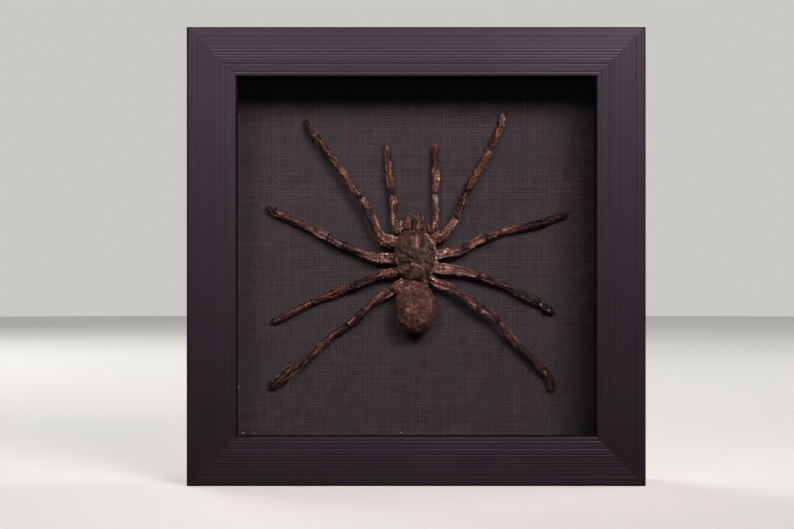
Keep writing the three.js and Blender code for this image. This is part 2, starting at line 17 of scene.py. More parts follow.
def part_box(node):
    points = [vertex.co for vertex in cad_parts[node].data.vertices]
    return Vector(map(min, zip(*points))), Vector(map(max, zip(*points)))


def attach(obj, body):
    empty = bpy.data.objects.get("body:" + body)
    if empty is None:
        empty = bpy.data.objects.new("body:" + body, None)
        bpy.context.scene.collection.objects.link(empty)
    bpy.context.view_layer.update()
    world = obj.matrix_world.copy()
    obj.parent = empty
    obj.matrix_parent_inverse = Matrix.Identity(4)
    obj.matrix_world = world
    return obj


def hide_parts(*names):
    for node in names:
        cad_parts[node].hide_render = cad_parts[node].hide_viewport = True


bl_info = {
    "name": "Framed tarantula specimen",
    "version": (1, 0, 0),
    "blender": (4, 5, 0),
    "location": "3D View > Sidebar > Specimen",
    "description": "Builds a dried tarantula in a linen-backed shadow box around its CAD frame",
    "category": "Add Mesh",
}

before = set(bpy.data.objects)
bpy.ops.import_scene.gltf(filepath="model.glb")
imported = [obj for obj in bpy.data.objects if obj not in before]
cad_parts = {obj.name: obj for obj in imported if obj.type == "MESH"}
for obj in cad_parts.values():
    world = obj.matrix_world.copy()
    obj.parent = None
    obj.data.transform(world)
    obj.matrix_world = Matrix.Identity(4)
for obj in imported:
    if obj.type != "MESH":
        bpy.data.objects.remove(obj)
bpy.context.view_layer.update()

MM = 0.001
EPS = 1e-7  # metres: places nearer than this are the same
OUT = np.array((0.0, -1.0, 0.0))  # out of the box, towards the viewer
DOWN = np.array((0.0, 0.0, -1.0))

# ------------------------------------------------------------------ sizes read from the frame

RAIL_LOW, RAIL_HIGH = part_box("frame_rail_bottom")
CLOTH_LOW, CLOTH_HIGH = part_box("linen")
MITRE_GAP = 0.07 * MM  # each rail ends this much before the mitre
BOX_HALF = RAIL_HIGH.x + MITRE_GAP
FACE_WIDTH = RAIL_HIGH.z
FRONT_Y = RAIL_LOW.y
BACK_Y = RAIL_HIGH.y
CLOTH_Y = CLOTH_LOW.y
CLOTH_HALF = CLOTH_HIGH.x
CENTRE = Vector((0, 0, BOX_HALF))
SPIDER = np.array((0.0, CLOTH_Y, 0.096))  # under the middle of the carapace, on the linen

CHELICERA_NODES = ("chelicera_left", "chelicera_right")
PALP_NODES = ("pedipalp_left", "pedipalp_right")
LEG_NODES = tuple(f"leg_{side}_{i}" for side in ("left", "right") for i in (1, 2, 3, 4))


def linear(code):
    """An sRGB hex colour as linear RGBA."""
    parts = [int(code[i : i + 2], 16) / 255 for i in (1, 3, 5)]
    return (*(p / 12.92 if p <= 0.04045 else ((p + 0.055) / 1.055) ** 2.4 for p in parts), 1.0)


# The colours of the dried skin, from the pale scales near the body to the dark claws. The palest
# also serves for painted highlights on glossy places.
SKIN = {
    "glint": "#BC8E7C",
    "cream": "#946553",
    "peach": "#7D4F44",
    "blush": "#704743",
    "tan": "#5C392F",
    "copper": "#9A5A30",
    "straw": "#8A7048",
    "amber": "#7C461D",
    "rust": "#522119",
    "mauve": "#4A2F31",
    "umber": "#36241F",
    "olive": "#3B3126",
    "plum": "#2B1417",
    "cocoa": "#1E110E",
    "black": "#0D0706",
}

# ------------------------------------------------------------------ the limbs, as they dried
#
# Distances are in millimetres along the limb, from the body out to the claw. The first "coxa"
# millimetres are cracked into scales, and from "fray" on the limb is split into strands. "joints"
# are the rings between the segments and how deep each is drawn, "tints" the colour from place to
# place, and a mark is (from, to, degrees round the limb, radius, tint): 90 degrees is the side that
# faces out of the box, and 0 and 180 are its right and left edge seen from the body. A mark that is
# a spot or a short streak in the palest tint is a painted highlight on a glossy place.

LIMBS = {
    "leg_left_1": {
        "length": 66.4, "coxa": 8.0,
        "joints": ((9.0, 0.4), (17.5, 0.15), (25.5, 1.0), (37.5, 0.2), (49.5, 0.2), (57.5, 0.5)),
        "tints": ((0, "glint"), (4, "cream"), (8, "cream"), (12, "peach"), (16, "umber"), (19, "tan"),
                  (21, "cream"), (24.5, "glint"), (25.6, "plum"), (27, "mauve"), (32, "tan"), (34, "blush"),
                  (38, "cream"), (42, "tan"), (46, "peach"), (50, "tan"), (54, "tan"), (56, "umber"),
                  (59, "umber"), (61, "tan"), (64, "rust"), (66, "cocoa")),
        # The cream mark on the right edge and the plum on the left, over the femur, are painted light and
        # shade.
        "marks": ((58.2, 58.2, 70, 0.6, "glint"), (27, 31.5, 60, 0.4, "glint"), (10, 22, 20, 0.7, "cream"),
                  (9, 21, 150, 1.1, "plum"), (35, 52, 150, 0.7, "rust"), (45, 47, 80, 0.4, "plum")),
    },
    "leg_right_1": {
        "length": 61.2, "coxa": 9.5,
        "joints": ((11.0, 0.5), (16.8, 0.5), (21.0, 0.5), (23.4, 0.9), (31.2, 0.9), (44.3, 0.9), (54.5, 0.7)),
        "tints": ((0, "peach"), (4, "cream"), (9, "glint"), (11, "cream"), (12, "plum"), (16, "black"),
                  (18.5, "cocoa"), (21, "cream"), (23, "plum"), (25, "rust"), (28, "rust"), (30.5, "peach"),
                  (33, "copper"), (41, "copper"), (43, "glint"), (44.4, "plum"), (46, "rust"), (50, "amber"),
                  (52, "copper"), (54, "copper"), (55.5, "peach"), (58, "cream"), (61, "mauve")),
        "marks": ((57, 60, 60, 0.35, "glint"), (55.5, 56.5, 110, 0.4, "glint"), (13, 16, 50, 0.3, "cream"),
                  (34, 40, 75, 0.5, "amber"), (18, 22, 60, 0.6, "cream"), (17, 21, 110, 0.4, "plum"),
                  (25, 28, 60, 0.4, "blush"), (47, 49, 120, 0.6, "plum"), (46.5, 49, 50, 0.35, "peach")),
    },
    "leg_left_2": {
        "length": 58.8, "coxa": 7.0,
        "joints": ((9.0, 0.3), (21.8, 0.9), (29.5, 0.8), (42.5, 0.2), (55.5, 0.5)),
        "tints": ((0, "cream"), (3, "glint"), (8, "cream"), (12, "cream"), (16, "umber"), (20.5, "mauve"),
                  (22, "umber"), (24, "mauve"), (27, "mauve"), (29.5, "peach"), (32, "glint"), (36, "tan"),
                  (39, "blush"), (42, "peach"), (46, "tan"), (49, "tan"), (51, "tan"), (54, "tan"),
                  (56, "umber"), (58, "rust"), (58.8, "cocoa")),
        "marks": ((52.3, 52.3, 80, 0.7, "glint"), (13, 18, 60, 0.4, "cream"), (23, 26, 100, 0.4, "glint"),
                  (27.5, 27.5, 60, 0.5, "plum"), (29.3, 29.3, 110, 0.5, "plum"), (31, 38, 120, 0.5, "cream"),
                  (40, 43, 90, 0.4, "plum"), (53, 57, 50, 0.4, "rust")),
    },
    "leg_right_2": {
        "length": 57.5, "coxa": 5.0,
        "joints": ((9.5, 0.2), (21.0, 0.7), (27.3, 0.4), (36.0, 0.3), (46.0, 0.15)),
        "tints": ((0, "glint"), (3, "glint"), (6, "peach"), (10, "tan"), (12.5, "olive"), (15, "cream"),
                  (18, "cream"), (20.5, "mauve"), (21.5, "umber"), (23, "mauve"), (26, "cream"),
                  (28, "copper"), (31, "glint"), (34, "copper"), (36, "rust"), (39, "cocoa"), (48, "black"),
                  (57, "cocoa")),
        "marks": ((50, 50, 80, 0.45, "glint"), (15, 20, 70, 0.4, "glint"), (26, 35, 80, 0.5, "amber"),
                  (9, 14, 110, 0.5, "plum"), (38, 55, 70, 0.5, "rust"), (12, 12, 80, 0.5, "plum")),
    },
    "leg_left_3": {
        "length": 57.6, "coxa": 5.0,
        "joints": ((8.0, 0.3), (19.2, 0.8), (28.8, 0.6), (36.5, 0.2), (44.0, 0.2), (52.0, 0.4)),
        "tints": ((0, "peach"), (2, "cream"), (5, "cream"), (7, "tan"), (10, "tan"), (13, "mauve"),
                  (16, "black"), (20.5, "plum"), (22, "mauve"), (24, "peach"), (27, "tan"), (28.6, "amber"),
                  (31, "peach"), (35, "tan"), (38, "tan"), (41, "tan"), (46, "peach"), (50, "tan"),
                  (52, "mauve"), (54, "mauve"), (55.5, "tan"), (57.5, "cocoa")),
        "marks": ((40.3, 40.3, 80, 0.55, "glint"), (28.5, 29.3, 80, 0.5, "cream"), (21, 24, 60, 0.4, "peach"),
                  (6, 7, 70, 0.8, "cream"), (8, 18, 110, 0.4, "blush"), (30, 35, 60, 0.5, "amber"),
                  (44, 50, 130, 0.5, "umber"), (34, 37, 100, 0.5, "olive")),
    },
    "leg_right_3": {
        "length": 54.2, "coxa": 3.5, "shade": 0.68,
        "joints": ((7.5, 0.3), (18.3, 1.0), (26.5, 0.2), (38.5, 0.2), (46.0, 0.9), (50.0, 0.9)),
        "tints": ((0, "glint"), (4, "glint"), (8, "glint"), (12, "cream"), (15, "tan"), (17, "plum"),
                  (18.5, "plum"), (20, "blush"), (23, "mauve"), (28, "tan"), (32, "umber"), (38, "umber"),
                  (44, "umber"), (46, "plum"), (48, "plum"), (50, "cocoa"), (52, "plum"), (54, "cocoa")),
        "marks": ((47.5, 47.5, 80, 0.5, "glint"), (51.7, 51.7, 80, 0.5, "glint"), (6, 16, 60, 0.5, "glint"),
                  (5, 17, 140, 0.9, "rust"), (24, 27, 60, 0.4, "cream"), (20, 36, 60, 0.35, "tan"),
                  (22, 38, 115, 0.35, "mauve")),
    },
    "leg_left_4": {
        "length": 72.5, "coxa": 3.0, "shade": 0.68, "fray": 50.0,
        "joints": ((6.0, 0.5), (21.0, 0.5), (24.3, 0.6), (30.6, 0.9), (42.0, 0.2), (50.5, 0.5)),
        "tints": ((0, "glint"), (3, "cream"), (5, "plum"), (6.5, "peach"), (12, "blush"), (17, "peach"),
                  (20, "mauve"), (22, "plum"), (25, "umber"), (27, "mauve"), (29, "umber"), (31, "plum"),
                  (34, "umber"), (37, "plum"), (41, "peach"), (44, "peach"), (48, "tan"), (50, "cocoa"),
                  (53, "umber"), (58, "tan"), (66, "tan"), (69, "mauve"), (71, "blush"), (73, "plum")),
        "marks": ((65.5, 65.5, 80, 0.5, "glint"), (62.0, 66.5, 45, 0.45, "black"),
                  (5.5, 5.5, 90, 0.9, "black"), (4.8, 4.8, 40, 0.35, "glint"),
                  (6.6, 6.6, 140, 0.35, "glint"), (7, 19, 60, 0.35, "glint"), (9, 20, 115, 0.4, "plum"),
                  (13, 24, 40, 0.35, "plum"), (25.5, 28.5, 70, 0.4, "glint"), (24, 30, 110, 0.4, "rust"),
                  (44, 49, 100, 0.45, "cream"), (33, 42, 70, 0.25, "peach"), (34, 43, 110, 0.3, "plum")),
    },
    "leg_right_4": {
        "length": 73.2, "coxa": 5.0,
        "joints": ((9.5, 0.3), (24.0, 0.6), (34.5, 0.9), (50.5, 0.2), (65.0, 0.8)),
        "tints": ((0, "glint"), (3, "glint"), (6, "peach"), (9, "peach"), (12, "tan"), (16, "blush"),
                  (19, "blush"), (22, "peach"), (24, "umber"), (26, "mauve"), (30, "blush"), (32, "peach"),
                  (34, "plum"), (36, "blush"), (39, "tan"), (43, "peach"), (47, "peach"), (51, "umber"),
                  (56, "umber"), (61, "umber"), (64, "plum"), (66.5, "cocoa"), (70, "plum"), (72.5, "peach")),
        "marks": ((64.3, 64.3, 80, 0.5, "glint"), (6, 22, 60, 0.4, "glint"), (8, 24, 120, 0.7, "rust"),
                  (27, 30, 70, 0.45, "glint"), (40, 44, 70, 0.4, "cream"), (47, 49, 70, 0.4, "plum"),
                  (67.5, 71, 90, 0.9, "plum"), (26, 34, 130, 0.5, "plum")),
    },
    "pedipalp_left": {
        "length": 38.4, "coxa": 5.0, "shade": 0.68,
        "joints": ((6.0, 0.3), (10.3, 0.2), (16.3, 0.8), (27.5, 0.15), (34.0, 0.3)),
        "tints": ((0, "glint"), (4, "glint"), (7, "cream"), (10, "peach"), (13, "cream"), (15, "tan"),
                  (16.4, "cocoa"), (18, "plum"), (22, "peach"), (26, "rust"), (29, "tan"), (32, "umber"),
                  (36, "cream"), (38, "peach")),
        "marks": ((13.6, 13.6, 80, 0.7, "glint"), (4, 6, 70, 0.5, "rust"), (22, 30, 60, 0.4, "cream"),
                  (7, 12, 40, 0.4, "plum"), (37.6, 37.6, 90, 0.5, "black")),
    },
    "pedipalp_right": {
        "length": 37.8, "coxa": 4.5, "shade": 0.77,
        "joints": ((4.5, 0.3), (16.0, 0.9), (26.5, 0.2), (30.3, 0.3)),
        "tints": ((0, "peach"), (4, "cream"), (6, "peach"), (9, "cream"), (12, "glint"), (14, "glint"),
                  (16, "mauve"), (18, "cream"), (24, "cream"), (27, "mauve"), (30, "umber"), (34, "rust"),
                  (36.5, "peach"), (38, "peach")),
        "marks": ((17, 26, 60, 0.45, "glint"), (5, 10, 90, 0.4, "black"), (31, 35, 90, 0.7, "rust"),
                  (17, 25, 130, 0.4, "rust")),
    },
    "chelicera_left": {
        "length": 10.0, "coxa": 0.0, "joints": (),
        "tints": ((0, "umber"), (2, "tan"), (5, "peach"), (8, "peach"), (10, "tan")),
        "marks": ((1, 8, 60, 0.5, "cream"), (1, 8, 120, 0.4, "rust"), (1, 2, 90, 0.5, "blush")),
    },
    "chelicera_right": {
        "length": 10.0, "coxa": 0.0, "joints": (),
        "tints": ((0, "umber"), (2, "blush"), (5, "peach"), (8, "tan"), (10, "mauve")),
        "marks": ((1, 9, 60, 0.4, "cocoa"), (1, 8, 110, 0.6, "peach"), (1, 8, 30, 0.5, "cream")),
    },
}
# How dark the tints dried: on a limb with no "shade" of its own, on the scales near the body, which
# stayed pale, and on the body.
LIMB_SHADE = 0.57
SCALE_SHADE = 1.0
BODY_SHADE = 0.88

# Strokes on the body: a path of (x, z) in millimetres from the middle of the carapace, half width,
# tint, strength, and how far the stroke stands proud, in millimetres.
SHELL_STROKES = (
    (((4.4, 9.0), (6.5, 6.7), (8.0, 4.2), (8.5, 2.1), (8.7, -0.1), (8.8, -2.5), (8.3, -4.3), (7.4, -6.5),
      (6.4, -8.7)), 0.42, "glint", 0.9, 0.25),
    (((-7.5, 7.6), (-8.6, 5.6), (-8.9, 2.4), (-8.6, -0.1)), 0.42, "peach", 0.9, 0.15),
    (((-8.4, -1.5), (-7.6, -4.9), (-6.5, -6.8), (-5.2, -9.0)), 0.42, "glint", 0.9, 0.2),
    (((-2.2, 9.3), (1.2, 9.3)), 0.9, "cocoa", 0.9, -0.1),
    (((-1.6, 10.2), (-0.4, 10.2)), 0.35, "cream", 0.7, 0.1),
    (((-6.0, 6.4),), 1.2, "amber", 0.75, 0.1),
    (((5.2, 7.3),), 1.1, "amber", 0.75, 0.1),
    (((-3.0, 6.9), (-3.0, 5.0)), 0.9, "plum", 0.75, -0.2),
    (((2.8, 9.2), (2.8, 7.4)), 0.8, "plum", 0.75, -0.1),
    (((5.9, 4.4), (6.4, 3.3)), 1.0, "plum", 0.8, -0.2),
    (((-2.0, 3.4), (-1.8, 1.0)), 0.6, "plum", 0.7, -0.15),
    (((0.2, 3.3), (0.2, 1.2)), 1.3, "mauve", 0.7, 0.0),
    (((0.3, 8.4), (0.4, 5.8)), 0.6, "cream", 0.95, 0.15),
    (((0.1, 4.1),), 0.9, "glint", 0.9, 0.15),
    (((0.1, 4.1),), 0.25, "mauve", 0.9, -0.1),
    (((-2.2, 7.6), (-0.6, 7.3)), 0.5, "peach", 0.9, 0.1),
    (((-4.4, 5.0), (-2.9, 2.8)), 0.6, "rust", 0.6, 0.1),
    (((-7.8, 1.2), (-6.6, 0.0)), 0.6, "amber", 0.9, 0.1),
    (((-6.3, 0.1), (-2.7, -0.3)), 0.55, "peach", 0.75, 0.2),
    (((-6.8, -1.7), (-4.2, -1.3), (-1.5, -0.4)), 0.6, "plum", 0.9, -0.3),
    (((-5.5, 3.4), (-3.4, 1.6)), 0.5, "umber", 0.8, -0.25),
    (((-0.2, -0.7), (-1.2, -1.9)), 0.9, "olive", 0.8, -0.1),
    (((1.6, -0.3), (2.3, -1.8)), 0.6, "peach", 0.75, 0.15),
    (((0.1, -2.1),), 0.5, "black", 0.95, -0.35),
    (((1.6, -3.2),), 0.5, "black", 0.95, -0.35),
    (((-1.7, -3.3), (0.4, -4.3), (2.9, -5.3)), 0.6, "glint", 0.95, 0.3),
    (((6.3, 1.2), (2.8, -1.8)), 0.6, "cream", 0.8, 0.25),
    (((3.8, -1.8), (6.3, 0.0), (8.0, -0.3)), 0.5, "plum", 0.85, -0.3),
    (((4.9, -3.4),), 1.4, "tan", 0.8, 0.1),
    (((6.2, -2.6),), 0.4, "amber", 1.0, 0.1),
    (((3.3, 2.4), (5.6, 5.0)), 0.3, "cream", 0.8, 0.15),
    (((6.4, -5.0), (5.2, -7.6)), 0.9, "mauve", 0.7, -0.1),
    (((-6.4, -4.5), (-3.0, -5.9)), 0.3, "cream", 0.7, 0.15),
    (((-5.9, -5.9), (-2.8, -7.2)), 0.3, "peach", 0.8, 0.15),
    (((-4.9, -7.5), (-2.4, -8.4)), 0.3, "peach", 0.7, 0.15),
    (((-4.4, -6.7),), 0.7, "plum", 0.6, -0.1),
    (((-5.4, -3.2), (-2.6, -3.4)), 0.6, "umber", 0.9, -0.25),
    (((-1.2, -8.2),), 1.4, "olive", 0.7, 0.0),
    (((1.1, -6.7),), 1.1, "blush", 0.7, 0.1),
    (((3.3, -7.5), (5.2, -5.6)), 0.4, "peach", 0.7, 0.15),
    (((2.1, -9.6),), 0.6, "black", 0.9, -0.2),
    (((-3.5, -9.6), (-1.6, -9.6)), 0.9, "peach", 0.8, 0.1),
    (((4.2, -9.6),), 0.9, "peach", 0.8, 0.1),
)
SAC_STROKES = (
    (((-1.5, -12.6), (-0.9, -13.8)), 0.45, "cream", 1.0, 0.15),
    (((-3.6, -14.1), (-3.0, -13.2)), 0.6, "glint", 0.7, 0.15),
    (((-5.2, -15.5), (-5.6, -21.0), (-5.0, -27.0)), 1.5, "blush", 0.8, 0.0),
    (((-3.9, -16.1),), 0.5, "rust", 0.8, -0.1),
    (((-4.2, -19.1),), 0.5, "rust", 0.8, -0.1),
    (((-4.9, -21.6),), 0.5, "rust", 0.8, -0.1),
    (((-3.0, -23.1),), 0.35, "glint", 1.0, 0.1),
    (((-5.3, -21.2),), 0.3, "glint", 0.8, 0.1),
    (((-3.4, -20.6), (-3.8, -22.6)), 0.35, "cream", 0.7, 0.1),
    (((-5.4, -24.3),), 0.7, "amber", 0.6, 0.0),
    (((-1.2, -15.2), (-1.1, -20.2)), 0.6, "umber", 0.85, -0.3),
    (((-2.3, -15.0), (-2.2, -20.0)), 0.4, "blush", 0.7, 0.15),
    (((1.6, -21.9),), 1.2, "olive", 0.75, -0.1),
    (((-1.5, -25.2), (-1.5, -26.6)), 0.8, "olive", 0.95, -0.2),
    (((1.4, -16.8), (3.0, -17.2)), 1.2, "mauve", 0.75, 0.0),
    (((3.4, -16.9), (5.2, -17.7), (7.1, -17.9)), 0.4, "rust", 0.8, -0.2),
    (((1.3, -19.6), (3.8, -19.4)), 0.7, "peach", 0.6, 0.1),
    (((0.4, -24.4), (3.7, -24.2)), 0.22, "rust", 0.95, -0.2),
    (((0.4, -25.4), (3.7, -25.2)), 0.22, "rust", 0.95, -0.2),
    (((0.4, -24.9), (3.7, -24.7)), 0.22, "cream", 0.6, 0.1),
    (((3.9, -20.5), (4.2, -23.5)), 0.4, "rust", 0.7, -0.15),
    (((6.1, -18.4), (6.5, -21.6), (6.4, -24.0)), 0.45, "cream", 0.85, 0.3),
    (((7.1, -19.8), (7.2, -23.0), (6.8, -26.2), (6.1, -28.9)), 0.5, "olive", 0.95, -0.4),
    (((8.2, -21.8), (8.0, -26.6)), 0.8, "blush", 0.7, 0.1),
    (((-4.2, -28.0), (-2.2, -29.8), (-0.4, -31.0)), 1.2, "peach", 0.75, 0.15),
    (((1.6, -27.7),), 0.8, "cream", 0.7, 0.1),
    (((4.9, -24.9), (4.9, -28.6)), 0.5, "blush", 0.8, 0.15),
    (((1.5, -29.9), (3.0, -29.6)), 0.9, "olive", 0.9, -0.15),
    (((-1.8, -32.1), (0.6, -32.1)), 0.4, "plum", 1.0, -0.2),
    # The next four dark strokes, on the lower left, round the hind end and down both sides, are painted
    # shade.
    (((-6.2, -28.6), (-4.4, -31.2)), 0.8, "umber", 0.85, 0.0),
    (((-4.5, -31.4), (0.2, -33.2), (5.0, -31.6)), 1.5, "cocoa", 0.6, 0.0),
    (((9.4, -17.0), (9.3, -25.0), (7.4, -30.4)), 1.2, "umber", 0.75, 0.0),
    (((-8.6, -16.0), (-9.2, -23.0), (-7.6, -29.0)), 0.9, "umber", 0.5, 0.0),
    (((3.0, -13.4), (5.6, -14.6)), 0.5, "rust", 0.6, -0.1),
    (((5.8, -11.6),), 0.8, "cream", 0.6, 0.1),
    (((-6.2, -13.4),), 0.8, "blush", 0.6, 0.1),
    (((1.2, -11.4), (3.8, -12.0)), 0.7, "rust", 0.6, -0.1),
    (((0.4, -10.8),), 0.8, "umber", 0.9, -0.2),
)

# Long loose strands that stand out from a limb: limb, from, to, degrees round it, spread in degrees,
# count, length and half thickness in mm, and the tints that they take by turns.
TUFTS = (
    ("leg_left_4", 48.0, 62.0, 90, 160, 60, 9.5, 0.2, ("straw", "rust", "cream", "straw", "plum", "mauve")),
    ("leg_left_4", 52.0, 64.0, 10, 60, 20, 8.5, 0.18, ("glint", "straw", "umber")),
    ("leg_left_4", 34.0, 50.0, 90, 100, 26, 4.5, 0.09, ("tan", "cream", "umber")),
    ("leg_right_4", 50.0, 66.0, 170, 45, 46, 2.6, 0.08, ("cream", "peach", "tan")),
    ("leg_right_4", 36.0, 66.0, 90, 100, 50, 2.4, 0.08, ("cream", "peach", "umber")),
    ("leg_right_4", 64.0, 70.0, 90, 170, 46, 3.4, 0.09, ("cream", "peach", "tan")),
    ("leg_right_1", 46.0, 55.0, 170, 45, 26, 1.8, 0.07, ("cocoa", "rust", "tan")),
    ("leg_left_1", 46.0, 63.0, 150, 60, 40, 1.6, 0.07, ("tan", "umber", "amber")),
    ("leg_left_2", 44.0, 56.0, 150, 60, 30, 1.6, 0.07, ("tan", "umber", "amber")),
    ("leg_left_3", 36.0, 54.0, 90, 160, 40, 2.0, 0.07, ("tan", "umber", "amber")),
)

# Specks of dust on the linen: x and z in millimetres from the middle of the box, size in mm.
DUST = ((-74.0, -75.4, 0.7), (-68.9, -75.5, 0.5), (-6.3, -75.3, 0.6), (-76.1, 60.0, 0.6), (-76.1, -55.8, 0.6))

# ------------------------------------------------------------------ what a user would change


class BoxSettings(bpy.types.PropertyGroup):
    """The shadow box and its linen."""

    lip_depth: bpy.props.FloatProperty(
        name="Lip depth", description="Thickness of the moulding's lip in front of the glass",
        default=5 * MM, unit="LENGTH")
    rebate: bpy.props.FloatProperty(
        name="Rebate", description="How far the lip reaches over the glass", default=6 * MM, unit="LENGTH")
    crown: bpy.props.FloatProperty(
        name="Crown", description="How far the middle of the moulding's face stands proud",
        default=0.2 * MM, unit="LENGTH")
    comb_pitch: bpy.props.FloatProperty(
        name="Comb pitch", description="Distance between the fine lines combed into the face",
        default=0.62 * MM, unit="LENGTH")
    comb_depth: bpy.props.FloatProperty(
        name="Comb depth", description="Depth of the fine lines", default=0.014 * MM, unit="LENGTH")
    outer_round: bpy.props.FloatProperty(
        name="Outer rounding", description="Radius of the moulding's outer edge",
        default=1.0 * MM, unit="LENGTH")
    sight_round: bpy.props.FloatProperty(
        name="Sight rounding", description="Radius of the edge round the opening",
        default=0.6 * MM, unit="LENGTH")
    moulding_colour: bpy.props.FloatVectorProperty(
        name="Moulding colour", description="Colour of the moulding's film", subtype="COLOR", size=4,
        default=linear("#262024"))
    threads: bpy.props.IntProperty(
        name="Threads", description="Threads of the linen across the board", default=124)
    linen_colour: bpy.props.FloatVectorProperty(
        name="Linen colour", description="Middle colour of the yarn", subtype="COLOR", size=4,
        default=linear("#3E3537"))


class SpiderSettings(bpy.types.PropertyGroup):
    """The dried tarantula."""

    grain: bpy.props.FloatProperty(
        name="Skin detail", description="Size of the smallest facet of the modelled skin",
        default=0.22 * MM, unit="LENGTH")
    furrow: bpy.props.FloatProperty(
        name="Furrow", description="Depth of the furrows along a limb, as a share of its radius",
        default=0.24, subtype="FACTOR")
    bristle_length: bpy.props.FloatProperty(
        name="Bristle length", description="Usual length of a bristle on a leg",
        default=1.3 * MM, unit="LENGTH")
    bristle_density: bpy.props.FloatProperty(
        name="Bristles per millimetre", description="Bristles on each millimetre of a limb", default=15.0)
    velvet_length: bpy.props.FloatProperty(
        name="Velvet length", description="Length of the short hair on the abdomen", default=0.75 * MM,
        unit="LENGTH")
    velvet_count: bpy.props.IntProperty(
        name="Velvet count", description="Number of short hairs on the abdomen", default=9000)


class StageSettings(bpy.types.PropertyGroup):
    """The camera, the light and the floor."""

    camera_distance: bpy.props.FloatProperty(
        name="Camera distance", description="From the front of the box to the camera", default=0.9,
        unit="LENGTH")
    camera_offset: bpy.props.FloatProperty(
        name="Camera offset", description="How far the camera stands to the side of the box's middle",
        default=-8 * MM, unit="LENGTH")
    camera_height: bpy.props.FloatProperty(
        name="Camera height", description="Height of the lens over the floor",
        default=92.2 * MM, unit="LENGTH")
    lens: bpy.props.FloatProperty(
        name="Lens", description="Focal length on a 36 mm sensor, in millimetres", default=98.2)
    floor_colour: bpy.props.FloatVectorProperty(
        name="Floor colour", description="Colour of the plain floor", subtype="COLOR", size=4,
        default=linear("#D6D4CF"))
    key_power: bpy.props.FloatProperty(
        name="Key power", description="Power of the main lamp, in watts", default=0.70)
    side_power: bpy.props.FloatProperty(
        name="Side power", description="Power of the weaker lamp on the left, in watts", default=0.087)
    fill_power: bpy.props.FloatProperty(
        name="Fill power", description="Power of the weak lamp in front, in watts", default=0.42)
    back_power: bpy.props.FloatProperty(
        name="Back power", description="Power of the lamp behind the box, in watts", default=16.0)
    rim_power: bpy.props.FloatProperty(
        name="Rim power", description="Power of the lamp on the right of the box, in watts", default=10.0)


# ------------------------------------------------------------------ small helpers


def only(obj):
    """Makes one object the selected and active one, in object mode."""
    if bpy.context.mode != "OBJECT":
        bpy.ops.object.mode_set(mode="OBJECT")
    bpy.ops.object.select_all(action="DESELECT")
    obj.select_set(True)
    bpy.context.view_layer.objects.active = obj


def edit(obj):
    only(obj)
    bpy.ops.object.mode_set(mode="EDIT")


def leave():
    bpy.ops.object.mode_set(mode="OBJECT")


def pick(obj, kind, test):
    """In edit mode, selects only the verts, edges or faces that pass a test. Returns how many."""
    bpy.ops.mesh.select_mode(type={"verts": "VERT", "edges": "EDGE", "faces": "FACE"}[kind])
    bpy.ops.mesh.select_all(action="DESELECT")
    bm = bmesh.from_edit_mesh(obj.data)
    found = [element for element in getattr(bm, kind) if test(element)]
    for element in found:
        element.select_set(True)
    bmesh.update_edit_mesh(obj.data)
    return len(found)


def named(name):
    """Gives the object that an operator has just added its name, and its place to its mesh."""
    obj = bpy.context.object
    obj.name = name
    obj.data.name = name
    bpy.ops.object.transform_apply(location=True, rotation=True, scale=True)
    return obj


def add_bar(name, low, high):
    """A bar between two corners, to be shaped further."""
    low, high = Vector(low), Vector(high)
    bpy.ops.mesh.primitive_cube_add(size=1, location=(low + high) / 2)
    bpy.context.object.scale = high - low
    return named(name)


def modify(obj, kind, **settings):
    """Adds a modifier and applies it."""
    only(obj)
    modifier = obj.modifiers.new(kind.title(), kind)
    for key, value in settings.items():
        setattr(modifier, key, value)
    bpy.ops.object.modifier_apply(modifier=modifier.name)


def copy_node(node, name):
    """A loose copy of a CAD node's mesh as a new piece, its doubled vertices merged."""
    piece = bpy.data.objects.new(name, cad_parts[node].data.copy())
    piece.data.name = name
    piece.data.materials.clear()
    bpy.context.scene.collection.objects.link(piece)
    edit(piece)
    bpy.ops.mesh.select_all(action="SELECT")
    bpy.ops.mesh.remove_doubles(threshold=0.002 * MM)
    leave()
    return piece


def mount(piece, material_slot, *nodes):
    """The piece rides on the box and stands for its nodes, which it hides. The material slot is not used."""
    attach(piece, "root")
    if nodes:
        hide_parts(*nodes)
    return piece


def points_of(obj, what="co"):
    """The vertices' places or normals as an array."""
    data = np.empty(len(obj.data.vertices) * 3, np.float32)
    if what == "co":
        obj.data.vertices.foreach_get("co", data)
    else:
        obj.data.vertex_normals.foreach_get("vector", data)
    return data.reshape(-1, 3).astype(float)


def place_points(obj, points):
    obj.data.vertices.foreach_set("co", points.astype(np.float32).ravel())
    obj.data.update()


def store(obj, name, kind, values):
    """Keeps a value for each vertex, which the materials read: FLOAT, FLOAT_VECTOR or FLOAT_COLOR."""
    attribute = obj.data.attributes.new(name, kind, "POINT")
    key = {"FLOAT": "value", "FLOAT_VECTOR": "vector", "FLOAT_COLOR": "color"}[kind]
    attribute.data.foreach_set(key, np.asarray(values, np.float32).ravel())


def lumps(points, size, seed=0):
    """Smooth noise from -1 to 1, mostly within a half, with lumps of that size, at each point."""
    shift = 17.3 * seed
    values = [noise.noise((x + shift, y - shift, z)) for x, y, z in (points / size).tolist()]
    return np.clip(1.8 * np.array(values), -1, 1)


def splits(points, size, seed=0):
    """How far each point is from the cracks between cells of that size: 0 on a crack, 1 inside."""
    shift = 9.1 * seed
    reach = [noise.voronoi((x + shift, y, z - shift))[0] for x, y, z in (points / size).tolist()]
    return np.clip(np.array([far[1] - far[0] for far in reach]) / 0.35, 0, 1)


def unit(vectors):
    return vectors / np.maximum(np.linalg.norm(vectors, axis=-1, keepdims=True), 1e-12)


def tint(name):
    return np.array(linear(SKIN[name]))[:3]


def blend_tint(colours, name, weight):
    """Moves each colour towards a tint by a weight."""
    return colours + (tint(name) - colours) * np.clip(weight, 0, 1)[:, None]


def with_alpha(colours):
    return np.column_stack((np.clip(colours, 0, 1), np.ones(len(colours))))


# ------------------------------------------------------------------ materials


